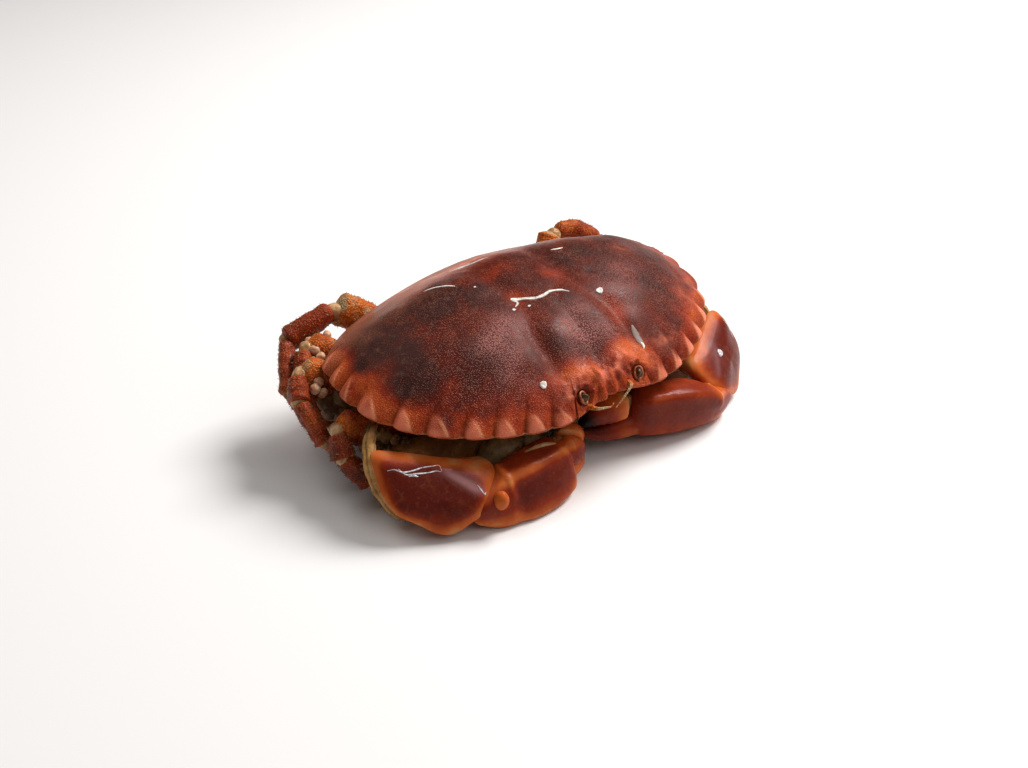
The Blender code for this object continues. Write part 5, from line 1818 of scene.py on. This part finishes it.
# The feelers: two thin ringed whips beside the eyes, on short thick roots. Orange-brown horny skin.
FEELER_LINE = {
    1: ((8.0, -49.0, 34.4), (6.8, -51.8, 35.4), (5.5, -54.2, 36.2), (3, -55.4, 35.4), (0, -56.0, 33.6),
        (-3.2, -56.0, 31.0)),
    -1: ((12.4, -48.5, 32.2), (11.8, -52.0, 32.9), (10.8, -55.0, 33.4), (8.0, -55.8, 33.0),
         (5.6, -56.0, 32.6), (4.4, -56.2, 33.8)),
}
FEELER_RADII = (1.1, 0.95, 0.6, 0.4, 0.3, 0.2)
FEELER_RINGS = 26.0
for side in (1, -1):
    feeler_line = mirrored(FEELER_LINE[side], side)
    thickness = [(radius, radius) for radius in FEELER_RADII]
    feeler, feeler_places = swept(feeler_line, thickness, (0, 0, 1), 150, 14, 0.03)[:2]
    ringed = 0.06 * np.sin(feeler_places * 2.0 * math.pi * FEELER_RINGS)[:, None]
    feeler = swelled(feeler, ringed * np.ones((1, 14)))
    feeler_tone = 0.34 - 0.22 * smooth_step(0.2, 0.5, feeler_places) + 0.06 * np.sin(feeler_places * 9.0)
    feeler_masks = {"tone": feeler_tone[:, None], "horn": 0.0}
    finish_piece(limb_piece("feeler_" + side_name(side), feeler, feeler_masks), leg_shell, "leg",
                 "antenna_" + side_name(side))


# The bristles: stiff olive-brown hairs on the legs, the arms, the side walls and the edges of the flap.
# One tree of nodes plants them where each part's hair mask says, and leans each a little at random.
def bristle_tree():
    """Small bent cones where the hair mask is, each turned, leaned and sized at random."""
    tree = bpy.data.node_groups.new("bristles", "GeometryNodeTree")
    for socket_name, kind, default in (("Geometry", "Geometry", None), ("Density", "Float", 1.0e6),
                                       ("Length", "Float", 0.002), ("Thickness", "Float", 0.00008),
                                       ("Lean", "Float", 0.5), ("Seed", "Int", 1),
                                       ("Material", "Material", None)):
        socket = tree.interface.new_socket(socket_name, in_out="INPUT", socket_type="NodeSocket" + kind)
        if default is not None:
            socket.default_value = default
    tree.interface.new_socket("Geometry", in_out="OUTPUT", socket_type="NodeSocketGeometry")
    given = tree.nodes.new("NodeGroupInput").outputs
    hair = add_node(tree, "GeometryNodeInputNamedAttribute", {"data_type": "FLOAT"}, Name="hair")
    density = maths(tree, "MULTIPLY", hair.outputs["Attribute"], given["Density"])
    plant = add_node(tree, "GeometryNodeDistributePointsOnFaces", {"distribute_method": "RANDOM"},
                     Mesh=given["Geometry"], Density=density, Seed=given["Seed"]).outputs
    cone = add_node(tree, "GeometryNodeMeshCone", {"fill_type": "TRIANGLE_FAN"}, Vertices=3, Side_Segments=3,
                    Radius_Top=0.05, Radius_Bottom=1.0, Depth=1.0).outputs["Mesh"]
    place = tree.nodes.new("GeometryNodeInputPosition").outputs[0]
    height = add_node(tree, "ShaderNodeSeparateXYZ", None, (place,)).outputs["Z"]
    curl = maths(tree, "MULTIPLY", maths(tree, "POWER", height, 2.0), 2.5)
    offset = add_node(tree, "ShaderNodeCombineXYZ", X=curl).outputs[0]
    bent = add_node(tree, "GeometryNodeSetPosition", Geometry=cone, Offset=offset).outputs["Geometry"]
    back = maths(tree, "MULTIPLY", given["Lean"], -1.0)
    least = add_node(tree, "ShaderNodeCombineXYZ", None, (back, back, -math.pi)).outputs[0]
    most = add_node(tree, "ShaderNodeCombineXYZ", None, (given["Lean"], given["Lean"], math.pi)).outputs[0]
    lean = add_node(tree, "FunctionNodeRandomValue", {"data_type": "FLOAT_VECTOR"}, (least, most),
                    Seed=given["Seed"]).outputs[0]
    leaned = add_node(tree, "FunctionNodeEulerToRotation", None, (lean,)).outputs[0]
    turn = add_node(tree, "FunctionNodeRotateRotation", {"rotation_space": "LOCAL"},
                    Rotation=plant["Rotation"], Rotate_By=leaned).outputs[0]
    vary = add_node(tree, "FunctionNodeRandomValue", {"data_type": "FLOAT"})
    vary.inputs[2].default_value = 0.45
    vary.inputs[3].default_value = 1.0
    length = maths(tree, "MULTIPLY", given["Length"], vary.outputs[1])
    thick = given["Thickness"]
    size = add_node(tree, "ShaderNodeCombineXYZ", None, (thick, thick, length)).outputs[0]
    stand = add_node(tree, "GeometryNodeInstanceOnPoints", Points=plant["Points"], Instance=bent,
                     Rotation=turn, Scale=size).outputs["Instances"]
    real = add_node(tree, "GeometryNodeRealizeInstances", None, (stand,)).outputs[0]
    dressed = add_node(tree, "GeometryNodeSetMaterial", Geometry=real, Material=given["Material"]).outputs[0]
    add_node(tree, "NodeGroupOutput", None, (dressed,))
    return tree


def bristle_material():
    material, tree, cloud, grain = new_look("bristle_horn", (0.20, 0.12, 0.05), 140.0)
    colour = ramp(tree, cloud["Clouds"], (0.3, (0.10, 0.050, 0.020)), (0.5, (0.24, 0.13, 0.050)),
                  (0.72, (0.42, 0.27, 0.12)))
    return finish_look(material, colour, (0.4, 0.6))


bristles = bristle_tree()
bristle_horn = bristle_material()


def planted(name, bases, **values):
    """Grows bristles on copies of some pieces and keeps them as one plain mesh."""
    builder = bmesh.new()
    for base in bases:
        builder.from_mesh(base.data)
    mesh = bpy.data.meshes.new(name)
    builder.to_mesh(mesh)
    builder.free()
    bed = bpy.data.objects.new(name + "_bed", mesh)
    bpy.context.scene.collection.objects.link(bed)
    grow = bed.modifiers.new("bristles", "NODES")
    grow.node_group = bristles
    sockets = {item.name: item.identifier for item in bristles.interface.items_tree if item.in_out == "INPUT"}
    for input_name, value in dict(values, Material=bristle_horn).items():
        grow[sockets[input_name]] = value
    grown = bpy.data.meshes.new_from_object(bed.evaluated_get(bpy.context.evaluated_depsgraph_get()))
    grown.name = name
    bpy.data.objects.remove(bed, do_unlink=True)
    coat = bpy.data.objects.new(name, grown)
    bpy.context.scene.collection.objects.link(coat)
    points, normals = read_points(coat)
    write_points(coat, kept_inside(points))
    finish_piece(coat, bristle_horn, "leg")


planted("leg_bristles", leg_pieces, Density=1.1e6, Length=0.0012, Thickness=0.00013, Lean=0.8, Seed=5)
planted("body_bristles", [trunk_piece] + arm_pieces, Density=4.0e5, Length=0.0022, Thickness=0.00009,
        Lean=0.6, Seed=6)
planted("edge_bristles", [flap_piece] + mouth_pieces, Density=1.0e6, Length=0.0016, Thickness=0.00008,
        Lean=0.5, Seed=7)
